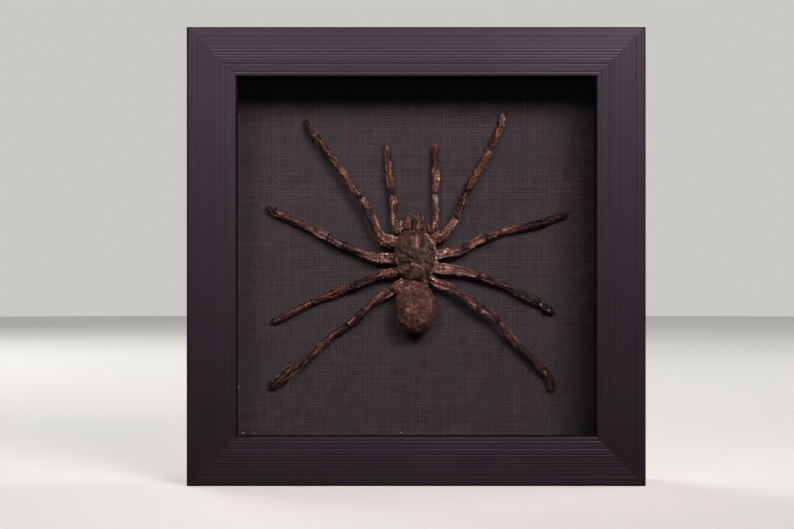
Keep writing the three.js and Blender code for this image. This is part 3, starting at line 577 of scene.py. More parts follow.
def put(tree, kind, sockets=None, **settings):
    """Adds a shader node with its settings. A socket takes a value, or (node, output) as a link."""
    node = tree.nodes.new(f"ShaderNode{kind}")
    for key, value in settings.items():
        setattr(node, key, value)
    for socket, value in (sockets or {}).items():
        if isinstance(value, tuple) and isinstance(value[0], bpy.types.Node):
            tree.links.new(value[0].outputs[value[1]], node.inputs[socket])
        else:
            node.inputs[socket].default_value = value
    return node


MULTIPLY = {"data_type": "RGBA", "blend_type": "MULTIPLY"}
BLEND = {"data_type": "RGBA"}


def new_material(name):
    """A material with an empty tree."""
    material = bpy.data.materials.new(name)
    material.use_nodes = True
    material.node_tree.nodes.clear()
    return material, material.node_tree


def surfaced(material, shader):
    """The material with its last shader linked to the output."""
    put(material.node_tree, "OutputMaterial", {"Surface": (shader, 0)})
    return material


def dress(piece, *materials):
    """Gives a piece or a CAD node its materials."""
    piece.data.materials.clear()
    for material in materials:
        piece.data.materials.append(material)


def moulding_film(colour):
    """Extruded polystyrene under a printed satin film: plum grey with long faint streaks, darker in
    its grooves, and a soft gloss that its hair lines spread across the rail."""
    material, tree = new_material("polystyrene_moulding_film")
    grain = put(tree, "Attribute", attribute_name="Grain")
    long = put(tree, "Mapping", {"Vector": (grain, "Vector"), "Scale": (1 / (40 * MM), 1 / (0.9 * MM), 1)})
    streak = put(tree, "TexNoise", {"Vector": (long, "Vector"), "Scale": 1.0, "Detail": 3.0})
    wide = put(tree, "TexNoise", {"Vector": (grain, "Vector"), "Scale": 1 / (22 * MM), "Detail": 2.0})
    fine = put(tree, "TexNoise", {"Vector": (grain, "Vector"), "Scale": 1 / (0.35 * MM), "Detail": 2.0})
    tone = put(tree, "MapRange", {"Value": (streak, "Fac"), 1: 0.3, 2: 0.7, 3: 0.82, 4: 1.2})
    toned = put(tree, "Mix", {"Factor": 1.0, 6: colour, 7: (tone, "Result")}, **MULTIPLY)
    cool = put(tree, "MapRange", {"Value": (wide, "Fac"), 1: 0.4, 2: 0.62, 3: 0.0, 4: 0.35})
    clouded = put(tree, "Mix", {"Factor": (cool, "Result"), 6: (toned, 2), 7: linear("#252628")}, **BLEND)
    line = put(tree, "Attribute", attribute_name="Line")
    # The film is drawn darker along the grooves, by how deep they are.
    groove_darkening = put(tree, "MapRange", {"Value": (line, "Fac"), 1: 0.3, 2: 0.9, 3: 1.0, 4: 0.7})
    mixed = put(tree, "Mix", {"Factor": 1.0, 6: (clouded, 2), 7: (groove_darkening, "Result")}, **MULTIPLY)
    sheen = put(tree, "MapRange", {"Value": (fine, "Fac"), 1: 0.3, 2: 0.7, 3: 0.36, 4: 0.44})
    bump = put(tree, "Bump", {"Height": (streak, "Fac"), "Strength": 0.25, "Distance": 0.05 * MM})
    across = put(tree, "Attribute", attribute_name="Across")
    bsdf = put(tree, "BsdfPrincipled", {
        "Base Color": (mixed, 2), "Roughness": (sheen, "Result"), "Normal": (bump, "Normal"), "IOR": 1.5,
        "Specular IOR Level": 0.33, "Specular Tint": linear("#FFE8FC"), "Anisotropic": 0.25,
        "Tangent": (across, "Vector")})
    return surfaced(material, bsdf)


def foam_back():
    """The moulding's raw back and the wall of its lip: black recycled foam, matt and finely pored."""
    material, tree = new_material("polystyrene_foam_raw")
    where = put(tree, "TexCoord")
    pores = put(tree, "TexVoronoi", {"Vector": (where, "Object"), "Scale": 1 / (0.9 * MM)})
    cloud = put(tree, "TexNoise", {"Vector": (where, "Object"), "Scale": 1 / (9 * MM), "Detail": 4.0})
    shade = put(tree, "MapRange", {"Value": (cloud, "Fac"), 1: 0.3, 2: 0.7, 3: 0.0, 4: 1.0})
    black, grey = linear("#0E0D0E"), linear("#1B191A")
    base = put(tree, "Mix", {"Factor": (shade, "Result"), 6: black, 7: grey}, **BLEND)
    bump = put(tree, "Bump", {"Height": (pores, "Distance"), "Strength": 0.5, "Distance": 0.12 * MM})
    bsdf = put(tree, "BsdfPrincipled", {
        "Base Color": (base, 2), "Roughness": 0.85, "Normal": (bump, "Normal"), "Specular IOR Level": 0.2})
    return surfaced(material, bsdf)


def picture_glass():
    """Thin coated picture glass: clear, with hardly a reflection. It bends only what the eye sees
    through it: the light of the lamps, and what is thrown back inside the box, pass straight."""
    material, tree = new_material("picture_glass_coated")
    pane = put(tree, "BsdfPrincipled", {
        "Base Color": linear("#F7FAF9"), "Roughness": 0.0, "IOR": 1.5, "Transmission Weight": 1.0,
        "Specular IOR Level": 0.04})
    clear = put(tree, "BsdfTransparent", {"Color": linear("#F7FAF9")})
    light = put(tree, "LightPath")
    seen = put(tree, "Math", {0: (light, "Is Camera Ray"), 1: (light, "Is Transmission Ray")},
               operation="MAXIMUM")
    mix = put(tree, "MixShader", {0: (seen, "Value"), 1: (clear, 0), 2: (pane, 0)})
    return surfaced(material, mix)


def spacer_board():
    """Black foam board cut into strips: matt, with a faint tooth."""
    material, tree = new_material("foam_board_black")
    where = put(tree, "TexCoord")
    tooth = put(tree, "TexNoise", {"Vector": (where, "Object"), "Scale": 1 / (0.5 * MM), "Detail": 3.0})
    cloud = put(tree, "TexNoise", {"Vector": (where, "Object"), "Scale": 1 / (14 * MM), "Detail": 2.0})
    base = put(tree, "Mix", {"Factor": (cloud, "Fac"), 6: linear("#0E0D0E"), 7: linear("#1A181A")}, **BLEND)
    bump = put(tree, "Bump", {"Height": (tooth, "Fac"), "Strength": 0.4, "Distance": 0.06 * MM})
    bsdf = put(tree, "BsdfPrincipled", {
        "Base Color": (base, 2), "Roughness": 0.9, "Normal": (bump, "Normal")})
    return surfaced(material, bsdf)


def linen_cloth(colour, pitch):
    """Plain woven linen: yarn of uneven thickness and shade, matt, with painted shade in the gaps
    between threads and a painted light and shade of the weave.
    """
    material, tree = new_material("linen_cloth_woven")
    where = put(tree, "TexCoord")
    thread = put(tree, "Attribute", attribute_name="Thread")
    # Over and under show as a chequer of the two yarn directions, one thread wide: a painted light and
    # shade of the weave.
    turned = put(tree, "Mapping", {"Vector": (where, "Object"), "Scale": (1 / pitch, 0, 1 / pitch)})
    under, over = (0.8, 0.8, 0.8, 1), (1.15, 1.15, 1.15, 1)
    weave_light_and_shade = put(tree, "TexChecker", {
        "Vector": (turned, "Vector"), "Scale": 1.0, "Color1": under, "Color2": over})
    fibre = put(tree, "TexNoise", {"Vector": (where, "Object"), "Scale": 1 / (0.28 * MM), "Detail": 3.0})
    cloud = put(tree, "TexNoise", {"Vector": (where, "Object"), "Scale": 1 / (16 * MM), "Detail": 3.0})
    tone = put(tree, "MapRange", {"Value": (thread, "Fac"), 1: -1.0, 2: 1.0, 3: 0.1, 4: 1.75})
    shade = put(tree, "Mix", {"Factor": 1.0, 6: colour, 7: (tone, "Result")}, **MULTIPLY)
    woven = put(tree, "Mix", {"Factor": 0.5, 6: (shade, 2), 7: (weave_light_and_shade, "Color")}, **MULTIPLY)
    fuzz = put(tree, "MapRange", {"Value": (fibre, "Fac"), 1: 0.3, 2: 0.7, 3: 0.8, 4: 1.2})
    fuzzy = put(tree, "Mix", {"Factor": 1.0, 6: (woven, 2), 7: (fuzz, "Result")}, **MULTIPLY)
    warm = put(tree, "MapRange", {"Value": (cloud, "Fac"), 1: 0.4, 2: 0.62, 3: 0.0, 4: 0.4})
    mixed = put(tree, "Mix", {"Factor": (warm, "Result"), 6: (fuzzy, 2), 7: linear("#3A3838")}, **BLEND)
    bump = put(tree, "Bump", {"Height": (fibre, "Fac"), "Strength": 0.5, "Distance": 0.08 * MM})
    bsdf = put(tree, "BsdfPrincipled", {
        "Base Color": (mixed, 2), "Roughness": 0.95, "Normal": (bump, "Normal"), "Specular IOR Level": 0.2,
        "Sheen Weight": 0.08, "Sheen Roughness": 0.6})
    return surfaced(material, bsdf)


def mount_card():
    """Grey-white card behind the linen."""
    material, tree = new_material("mount_card_pulp")
    where = put(tree, "TexCoord")
    pulp = put(tree, "TexNoise", {"Vector": (where, "Object"), "Scale": 1 / (1.2 * MM), "Detail": 5.0})
    base = put(tree, "Mix", {"Factor": (pulp, "Fac"), 6: linear("#BDB6A6"), 7: linear("#DAD4C6")}, **BLEND)
    bsdf = put(tree, "BsdfPrincipled", {"Base Color": (base, 2), "Roughness": 0.92})
    return surfaced(material, bsdf)


def hardboard():
    """Pressed hardboard, smooth side out: warm brown with short darker fibres and a dull shine."""
    material, tree = new_material("hardboard_pressed")
    where = put(tree, "TexCoord")
    laid = put(tree, "Mapping", {"Vector": (where, "Object"), "Rotation": (0, 0.5, 0),
                                           "Scale": (1, 1, 0.35)})
    fibre = put(tree, "TexNoise", {"Vector": (laid, "Vector"), "Scale": 1 / (0.8 * MM), "Detail": 6.0,
                                             "Roughness": 0.7})
    cloud = put(tree, "TexNoise", {"Vector": (where, "Object"), "Scale": 1 / (24 * MM), "Detail": 4.0})
    flecks = put(tree, "MapRange", {"Value": (fibre, "Fac"), 1: 0.56, 2: 0.66, 3: 0.0, 4: 0.75})
    base = put(tree, "Mix", {"Factor": (cloud, "Fac"), 6: linear("#5A3B24"), 7: linear("#7A5636")}, **BLEND)
    flecked = put(tree, "Mix", {"Factor": (flecks, "Result"), 6: (base, 2), 7: linear("#3A2415")}, **BLEND)
    bump = put(tree, "Bump", {"Height": (fibre, "Fac"), "Strength": 0.3, "Distance": 0.08 * MM})
    bsdf = put(tree, "BsdfPrincipled", {
        "Base Color": (flecked, 2), "Roughness": 0.55, "Normal": (bump, "Normal")})
    return surfaced(material, bsdf)


def plated_steel(name, bright, dull, roughness):
    """Pressed strip with a thin bright plating: fine rolling lines, and duller where it was handled."""
    material, tree = new_material(name)
    where = put(tree, "TexCoord")
    rolled = put(tree, "Mapping", {"Vector": (where, "Object"),
                                             "Scale": (1 / (6 * MM), 1 / (6 * MM), 1 / (0.15 * MM))})
    lines = put(tree, "TexNoise", {"Vector": (rolled, "Vector"), "Scale": 1.0, "Detail": 2.0})
    cloud = put(tree, "TexNoise", {"Vector": (where, "Object"), "Scale": 1 / (2.5 * MM), "Detail": 5.0})
    worn = put(tree, "MapRange", {"Value": (cloud, "Fac"), 1: 0.42, 2: 0.62, 3: 0.0, 4: 1.0})
    base = put(tree, "Mix", {"Factor": (worn, "Result"), 6: linear(bright), 7: linear(dull)}, **BLEND)
    rough = put(tree, "MapRange", {"Value": (cloud, "Fac"), 1: 0.3, 2: 0.7,
                                             3: roughness - 0.08, 4: roughness + 0.12})
    bump = put(tree, "Bump", {"Height": (lines, "Fac"), "Strength": 0.25, "Distance": 0.02 * MM})
    bsdf = put(tree, "BsdfPrincipled", {
        "Base Color": (base, 2), "Roughness": (rough, "Result"), "Metallic": 1.0, "Normal": (bump, "Normal")})
    return surfaced(material, bsdf)


def dried_cuticle():
    """The hard dried skin of the limbs: mottled and streaked along the limb, with painted shade in its
    hollows and painted light on its ridges, and a waxy gloss in patches on what stands proud."""
    material, tree = new_material("chitin_cuticle_dried")
    where = put(tree, "TexCoord")
    colour = put(tree, "Attribute", attribute_name="Tint")
    along = put(tree, "Attribute", attribute_name="Along")
    relief_shade = put(tree, "Attribute", attribute_name="Relief")

    mottle = put(tree, "TexNoise", {"Vector": (where, "Object"), "Scale": 1 / (0.7 * MM), "Detail": 4.0,
                                              "Roughness": 0.65})
    drawn = put(tree, "Mapping", {"Vector": (along, "Vector"), "Scale": (0.3, 2.2, 2.2)})
    streak = put(tree, "TexNoise", {"Vector": (drawn, "Vector"), "Scale": 1.0, "Detail": 3.0})
    light = put(tree, "MapRange", {"Value": (mottle, "Fac"), 1: 0.3, 2: 0.7, 3: 0.55, 4: 1.5})
    mottled = put(tree, "Mix", {"Factor": 1.0, 6: (colour, "Color"), 7: (light, "Result")}, **MULTIPLY)
    lines = put(tree, "MapRange", {"Value": (streak, "Fac"), 1: 0.32, 2: 0.68, 3: 0.62, 4: 1.4})
    lined = put(tree, "Mix", {"Factor": 1.0, 6: (mottled, 2), 7: (lines, "Result")}, **MULTIPLY)
    # Painted shade in the hollows and painted light on the ridges, from the stored relief.
    hollow_and_ridge_shade = put(tree, "MapRange", {"Value": (relief_shade, "Fac"), 1: -1.0, 2: 1.0, 3: 0.3, 4: 1.6})
    shaded = put(tree, "Mix", {"Factor": 1.0, 6: (lined, 2), 7: (hollow_and_ridge_shade, "Result")}, **MULTIPLY)

    gloss = put(tree, "MapRange", {"Value": (streak, "Fac"), 1: 0.42, 2: 0.66, 3: 0.7, 4: 0.36})
    height = put(tree, "Math", {0: (streak, "Fac"), 1: (mottle, "Fac")}, operation="ADD")
    bump = put(tree, "Bump", {"Height": (height, "Value"), "Strength": 0.7, "Distance": 0.2 * MM})
    bsdf = put(tree, "BsdfPrincipled", {
        "Base Color": (shaded, 2), "Roughness": (gloss, "Result"), "Normal": (bump, "Normal"), "IOR": 1.55,
        "Specular IOR Level": 0.22})
    return surfaced(material, bsdf)


def body_skin(name, roughness, sheen, mottle_size):
    """The skin of the body: painted in soft patches, mottled, with a fine nap that dulls it, and with
    painted shade in its hollows and painted light on what stands proud.
    """
    material, tree = new_material(name)
    where = put(tree, "TexCoord")
    colour = put(tree, "Attribute", attribute_name="Tint")
    relief_shade = put(tree, "Attribute", attribute_name="Relief")
    mottle = put(tree, "TexNoise", {"Vector": (where, "Object"), "Scale": 1 / mottle_size, "Detail": 5.0,
                                              "Roughness": 0.6})
    nap = put(tree, "TexNoise", {"Vector": (where, "Object"), "Scale": 1 / (0.4 * MM), "Detail": 3.0})
    light = put(tree, "MapRange", {"Value": (mottle, "Fac"), 1: 0.3, 2: 0.7, 3: 0.75, 4: 1.25})
    mottled = put(tree, "Mix", {"Factor": 1.0, 6: (colour, "Color"), 7: (light, "Result")}, **MULTIPLY)
    # Painted shade in the hollows and painted light on what stands proud, from the stored relief.
    hollow_and_ridge_shade = put(tree, "MapRange", {"Value": (relief_shade, "Fac"), 1: -1.0, 2: 1.0, 3: 0.6, 4: 1.3})
    shaded = put(tree, "Mix", {"Factor": 1.0, 6: (mottled, 2), 7: (hollow_and_ridge_shade, "Result")}, **MULTIPLY)
    speck = put(tree, "MapRange", {"Value": (nap, "Fac"), 1: 0.3, 2: 0.7, 3: 0.75, 4: 1.25})
    napped = put(tree, "Mix", {"Factor": 1.0, 6: (shaded, 2), 7: (speck, "Result")}, **MULTIPLY)
    bump = put(tree, "Bump", {"Height": (nap, "Fac"), "Strength": 0.5, "Distance": 0.12 * MM})
    bsdf = put(tree, "BsdfPrincipled", {
        "Base Color": (napped, 2), "Roughness": roughness, "Normal": (bump, "Normal"),
        "Specular IOR Level": 0.3, "Sheen Weight": sheen, "Sheen Roughness": 0.4})
    return surfaced(material, bsdf)


def bristle_hair():
    """Dried bristles: each takes the shade of the skin under it, with a silky shine along it."""
    material, tree = new_material("chitin_bristle_dried")
    where = put(tree, "TexCoord")
    colour = put(tree, "Attribute", attribute_name="Tint")
    vary = put(tree, "TexNoise", {"Vector": (where, "Object"), "Scale": 1 / (0.6 * MM), "Detail": 2.0})
    light = put(tree, "MapRange", {"Value": (vary, "Fac"), 1: 0.3, 2: 0.7, 3: 0.7, 4: 1.35})
    base = put(tree, "Mix", {"Factor": 1.0, 6: (colour, "Color"), 7: (light, "Result")}, **MULTIPLY)
    bsdf = put(tree, "BsdfPrincipled", {"Base Color": (base, 2), "Roughness": 0.5, "IOR": 1.55,
                                                "Specular IOR Level": 0.3})
    return surfaced(material, bsdf)


def lint():
    """Loose white lint: matt fibres caught on the cloth."""
    material, tree = new_material("cotton_lint")
    where = put(tree, "TexCoord")
    vary = put(tree, "TexNoise", {"Vector": (where, "Object"), "Scale": 1 / (0.2 * MM), "Detail": 2.0})
    base = put(tree, "Mix", {"Factor": (vary, "Fac"), 6: linear("#8F8A88"), 7: linear("#D8D4D0")}, **BLEND)
    bsdf = put(tree, "BsdfPrincipled", {"Base Color": (base, 2), "Roughness": 0.95})
    return surfaced(material, bsdf)


def studio_floor(colour):
    """A plain painted floor, matt, with the faintest unevenness of tone. What it throws back on the
    box is kept low, and to the eye it is lifted to the tone of the surroundings."""
    material, tree = new_material("floor_paint_matt")
    where = put(tree, "TexCoord")
    cloud = put(tree, "TexNoise", {"Vector": (where, "Object"), "Scale": 3.0, "Detail": 2.0})
    tone = put(tree, "MapRange", {"Value": (cloud, "Fac"), 1: 0.3, 2: 0.7, 3: 0.98, 4: 1.02})
    base = put(tree, "Mix", {"Factor": 1.0, 6: colour, 7: (tone, "Result")}, **MULTIPLY)
    bsdf = put(tree, "BsdfPrincipled", {
        "Base Color": (base, 2), "Roughness": 0.9, "Specular IOR Level": 0.2, "Emission Color": colour,
        "Emission Strength": 0.56})
    dull = put(tree, "BsdfDiffuse", {"Color": linear("#1E1E1E")})
    path = put(tree, "LightPath")
    mix = put(tree, "MixShader", {0: (path, "Is Camera Ray"), 1: (dull, 0), 2: (bsdf, 0)})
    return surfaced(material, mix)


# ------------------------------------------------------------------ the moulding

# Grooves that part the moulding's face in bands: millimetres from the outer edge, and depth.
FINE, BAND = 0.05, 0.08
GROOVE_SPREAD = 4.8  # each is a V, half as wide as this many times its depth
LIP_LEAN = 0.6 * MM  # how far the wall of the lip leans in towards the glass
GROOVES = ((1.7, FINE), (4.05, BAND), (5.85, FINE), (7.5, FINE), (9.2, FINE), (10.55, BAND), (11.7, FINE),
           (13.0, FINE), (14.2, FINE), (15.6, BAND), (17.1, FINE), (18.8, BAND))


def face_lines(settings):
    """The lines drawn along the face: distance from the outer edge, depth behind the crowned face."""
    rng = np.random.default_rng(5)
    lines = []
    for at, depth in GROOVES:
        at, depth = at * MM, depth * MM
        half = GROOVE_SPREAD * depth
        lines += [(at - half, 0.0), (at, depth), (at + half, 0.0)]
    step = settings.comb_pitch / 2
    count = int((FACE_WIDTH - settings.outer_round - settings.sight_round) / step)
    for i in range(count):
        at = settings.outer_round + (i + 0.5) * step
        clear = all(abs(at - g * MM) > GROOVE_SPREAD * depth * MM + 0.3 * step for g, depth in GROOVES)
        if clear:
            lines.append((at, (i % 2) * settings.comb_depth * rng.uniform(0.4, 1.5)))
    return sorted(lines)


def make_rail(settings):
    """The bottom rail: a bar, its lip drawn out over the glass, its face lined, crowned and rounded,
    and both ends cut at 45 degrees."""
    body_height = FACE_WIDTH - settings.rebate
    rail = add_bar("rail_bottom", (-BOX_HALF, FRONT_Y, 0), (BOX_HALF, BACK_Y, body_height))
    edit(rail)
    bpy.ops.mesh.select_all(action="SELECT")
    bpy.ops.mesh.bisect(plane_co=(0, FRONT_Y + settings.lip_depth, 0), plane_no=(0, 1, 0))
    lip_back = FRONT_Y + settings.lip_depth
    pick(rail, "faces", lambda f: f.normal.z > 0.9 and f.calc_center_median().y < lip_back)
    bpy.ops.mesh.extrude_region_move(TRANSFORM_OT_translate={"value": (0, 0, settings.rebate)})
    pick(rail, "verts", lambda v: v.co.z > FACE_WIDTH - 10 * EPS and v.co.y > lip_back - 10 * EPS)
    bpy.ops.transform.translate(value=(0, 0, LIP_LEAN))

    def front(face):
        return face.normal.y < -0.9

    pick(rail, "faces", front)
    lines = face_lines(settings)
    for at, _ in lines:
        pick(rail, "faces", front)
        bpy.ops.mesh.bisect(plane_co=(0, 0, at), plane_no=(0, 0, 1))
    for at, depth in [(0.0, 0.0), (FACE_WIDTH, 0.0), *lines]:
        crown = settings.crown * (2 * at / FACE_WIDTH - 1) ** 2
        pick(rail, "verts", lambda v, at=at: abs(v.co.z - at) < EPS and v.co.y < FRONT_Y + EPS)
        bpy.ops.transform.translate(value=(0, crown + depth, 0))
    for height, radius in ((0.0, settings.outer_round), (FACE_WIDTH, settings.sight_round)):
        pick(rail, "edges", lambda e, height=height: all(
            abs(v.co.z - height) < EPS and v.co.y < FRONT_Y + 1.1 * settings.crown for v in e.verts))
        bpy.ops.mesh.bevel(offset=radius, segments=8, affect="EDGES")
    for end in (-1, 1):
        bpy.ops.mesh.select_all(action="SELECT")
        bpy.ops.mesh.bisect(
            plane_co=(end * RAIL_HIGH.x, 0, 0), plane_no=(end, 0, 1), use_fill=True, clear_outer=True)
    bpy.ops.mesh.select_all(action="SELECT")
    bpy.ops.mesh.normals_make_consistent(inside=False)
    leave()
    points = points_of(rail)
    store(rail, "Grain", "FLOAT_VECTOR", points[:, (0, 2, 1)])
    store(rail, "Across", "FLOAT_VECTOR", np.tile((0, 0, 1), (len(points), 1)))
    crown = settings.crown * (2 * points[:, 2] / FACE_WIDTH - 1) ** 2
    sunk = np.clip((points[:, 1] - FRONT_Y - crown) / (BAND * MM), 0, 1)
    store(rail, "Line", "FLOAT", np.where(points[:, 1] < FRONT_Y + 0.4 * MM, sunk, 0))
    return rail


def build_rails(settings):
    film, raw = moulding_film(tuple(settings.moulding_colour)), foam_back()
    rail = make_rail(settings)
    dress(rail, film, raw)
    for face in rail.data.polygons:
        upright = face.normal.z > 0.95 and face.center.y > FRONT_Y + settings.sight_round
        if face.normal.y > 0.9 or upright:
            face.material_index = 1
    only(rail)
    bpy.ops.object.shade_smooth_by_angle(angle=math.radians(12))
    for turn, side in enumerate(("bottom", "left", "top", "right")):
        copy = rail
        if turn:
            copy = bpy.data.objects.new(f"rail_{side}", rail.data.copy())
            bpy.context.scene.collection.objects.link(copy)
            about = Matrix.Translation(CENTRE) @ Matrix.Rotation(turn * math.pi / 2, 4, "Y")
            copy.data.transform(about @ Matrix.Translation(-CENTRE))
            if turn % 2:
                copy.data.attributes.remove(copy.data.attributes["Across"])
                store(copy, "Across", "FLOAT_VECTOR", np.tile((1, 0, 0), (len(copy.data.vertices), 1)))
        mount(copy, "moulding", f"frame_rail_{side}")


# ------------------------------------------------------------------ the linen


# The yarn's shade and thickness wander along each thread between so many knots, and differ from
# thread to thread. No thread lies quite straight: it strays by shares of the pitch.
WARP = {"wander": 0.5, "knots": 34, "own": 0.16}
WEFT = {"wander": 0.55, "knots": 30, "own": 0.2}
STRAY, STRAY_LIMIT, STRAY_KNOTS = 0.3, 0.45, 20
# How dark the gaps between threads are drawn: a painted shade.
GAP_PAINTED_SHADE = -0.7
GAP_DEPTH, THREAD_RISE, THREAD_VARIES = 0.08 * MM, 0.06 * MM, 0.04 * MM


def uneven(rng, threads, length, knots):
    """For each thread, a value that wanders along it: threads x length."""
    marks = rng.normal(size=(threads, knots))
    at = np.linspace(0, knots - 1.001, length)
    low = at.astype(int)
    share = (1 - np.cos(np.pi * (at - low))) / 2
    return marks[:, low] * (1 - share) + marks[:, low + 1] * share


def build_linen_sheet(settings):
    """A fine grid as wide as the board, its threads raised over the gaps, then turned over the
    board's edge and hemmed behind it."""
    cells = 2 * settings.threads + 2
    side = 2 * CLOTH_HALF
    bpy.ops.mesh.primitive_grid_add(
        x_subdivisions=cells, y_subdivisions=cells, size=side, location=(0, CLOTH_Y, BOX_HALF),
        rotation=(math.pi / 2, 0, 0))
    cloth = named("linen_cloth")
    edit(cloth)

    def edge_of_sheet(edge):
        return edge.is_boundary

    thick, hem = 0.6 * MM, 12 * MM
    steps = (  # how far back, and the new half width
        (CLOTH_HIGH.y - CLOTH_Y, CLOTH_HALF),
        (0.0, CLOTH_HALF - hem),
        (-thick, CLOTH_HALF - hem),
        (0.0, CLOTH_HALF - thick),
        (CLOTH_Y + 2 * thick - CLOTH_HIGH.y, CLOTH_HALF - thick),
    )
    half = CLOTH_HALF
    for back, new_half in steps:
        pick(cloth, "edges", edge_of_sheet)
        bpy.ops.mesh.extrude_region_move(TRANSFORM_OT_translate={"value": (0, back, 0)})
        share = new_half / half
        bpy.ops.transform.resize(value=(share, 1, share), center_override=CENTRE)
        half = new_half
    pick(cloth, "edges", edge_of_sheet)
    bpy.ops.mesh.edge_face_add()
    bpy.ops.mesh.select_all(action="SELECT")
    bpy.ops.mesh.normals_make_consistent(inside=False)
    leave()
    weave(cloth, cells)
    return cloth


def weave(cloth, cells):
    """Raises the threads of the front face, spaces them unevenly and keeps each one's shade, with a
    painted shade in the gaps between them: odd rows lie in the gaps."""
    points = points_of(cloth)
    front = np.flatnonzero(points[:, 1] < CLOTH_Y + EPS)
    pitch = 2 * CLOTH_HALF / cells
    column = np.rint((points[front, 0] + CLOTH_HALF) / pitch).astype(int)
    row = np.rint((points[front, 2] - BOX_HALF + CLOTH_HALF) / pitch).astype(int)
    rng = np.random.default_rng(11)
    size = cells + 1

    def yarn(kind, thread, along):
        wander = kind["wander"] * uneven(rng, size, size, kind["knots"])[thread, along]
        return wander + kind["own"] * rng.normal(size=size)[thread]

    def stray(thread, along):
        shares = rng.normal(size=size)[thread] + 0.5 * uneven(rng, size, size, STRAY_KNOTS)[thread, along]
        return pitch * np.clip(STRAY * shares, -STRAY_LIMIT, STRAY_LIMIT)

    warp, weft = yarn(WARP, column, row), yarn(WEFT, row, column)
    on_warp, on_weft = column % 2 == 0, row % 2 == 0
    thread = np.where(on_warp, 0.5 + 0.5 * warp, 0) + np.where(on_weft, 0.5 + 0.5 * weft, 0)
    gap = ~on_warp & ~on_weft
    thread = np.where(gap, GAP_PAINTED_SHADE, thread / np.maximum(1, on_warp.astype(int) + on_weft))
    border = np.minimum(np.minimum(column, cells - column), np.minimum(row, cells - row)) == 0
    points[front, 0] += np.where(border, 0, stray(column, row))
    points[front, 2] += np.where(border, 0, stray(row, column))
    height = np.where(gap, -GAP_DEPTH, THREAD_RISE + THREAD_VARIES * np.clip(thread, -1.5, 1.5))
    points[front, 1] -= np.where(border, 0, height)
    place_points(cloth, points)
    shade = np.zeros(len(points))
    shade[front] = np.clip(thread, -1, 1.2)
    store(cloth, "Thread", "FLOAT", shade)


# ------------------------------------------------------------------ the limbs


def spine_of(points, step):
    """The middle line of a limb, as points a step apart: the means of its slices by distance from
    the middle of the carapace."""
    reach = np.linalg.norm((points - SPIDER)[:, (0, 2)], axis=1)
    slices = max(4, int((reach.max() - reach.min()) / step))
    which = np.minimum(((reach - reach.min()) / (reach.max() - reach.min()) * slices).astype(int), slices - 1)
    line = np.array([points[which == k].mean(axis=0) for k in range(slices)])
    line[1:-1] = (line[:-2] + 2 * line[1:-1] + line[2:]) / 4
    first, last = line[0] - (line[1] - line[0]), line[-1] + (line[-1] - line[-2])
    return np.vstack((first, line, last))


def along_limb(points, step=2.5 * MM):
    """For each point: distance along the limb from its near end, angle round it, distance from its
    middle line, and the limb's direction there. Metres and radians."""
    line = spine_of(points, step)
    legs = line[1:] - line[:-1]
    lengths = np.linalg.norm(legs, axis=1)
    before = np.concatenate(([0], np.cumsum(lengths)[:-1]))
    share = np.einsum("pkc,kc->pk", points[:, None] - line[None, :-1], legs) / lengths**2
    foot = line[None, :-1] + np.clip(share, 0, 1)[..., None] * legs
    gap = np.linalg.norm(points[:, None] - foot, axis=2)
    nearest = gap.argmin(axis=1)
    rows = np.arange(len(points))
    along = before[nearest] + share[rows, nearest] * lengths[nearest]
    corners = unit(np.vstack((legs[:1], legs[1:] + legs[:-1], legs[-1:])))
    part = np.clip(share[rows, nearest], 0, 1)[:, None]
    direction = unit(corners[nearest] * (1 - part) + corners[nearest + 1] * part)
    side = unit(np.cross(direction, OUT))
    up = np.cross(side, direction)
    off = points - foot[rows, nearest]
    angle = np.arctan2((off * up).sum(axis=1), (off * side).sum(axis=1))
    return along - along.min(), angle, gap[rows, nearest], direction


def skin_copy(node, settings, smooth=3):
    """A copy of a node with an even fine skin, ready to be shaped."""
    piece = copy_node(node, f"{node}_skin")
    modify(piece, "SUBSURF", levels=2, render_levels=2)
    modify(piece, "REMESH", mode="VOXEL", voxel_size=settings.grain, use_smooth_shade=True)
    modify(piece, "SMOOTH", factor=0.5, iterations=smooth)
    return piece


def near_line(values, at, width):
    """1 on a line and 0 away from it."""
    return np.exp(-(((values - at) / width) ** 2))


# Millimetres: the lumps of three sizes with their seeds, a cracked scale, and a joint's ring with the
# swollen collar on each side of it.
LIMB_LUMPS = ((2.4, 40), (1.1, 60), (0.55, 80))
SCALE_SIZE = 1.6
RING_WIDTH = 0.42
COLLAR_AT, COLLAR_WIDTH = 1.1, 0.7


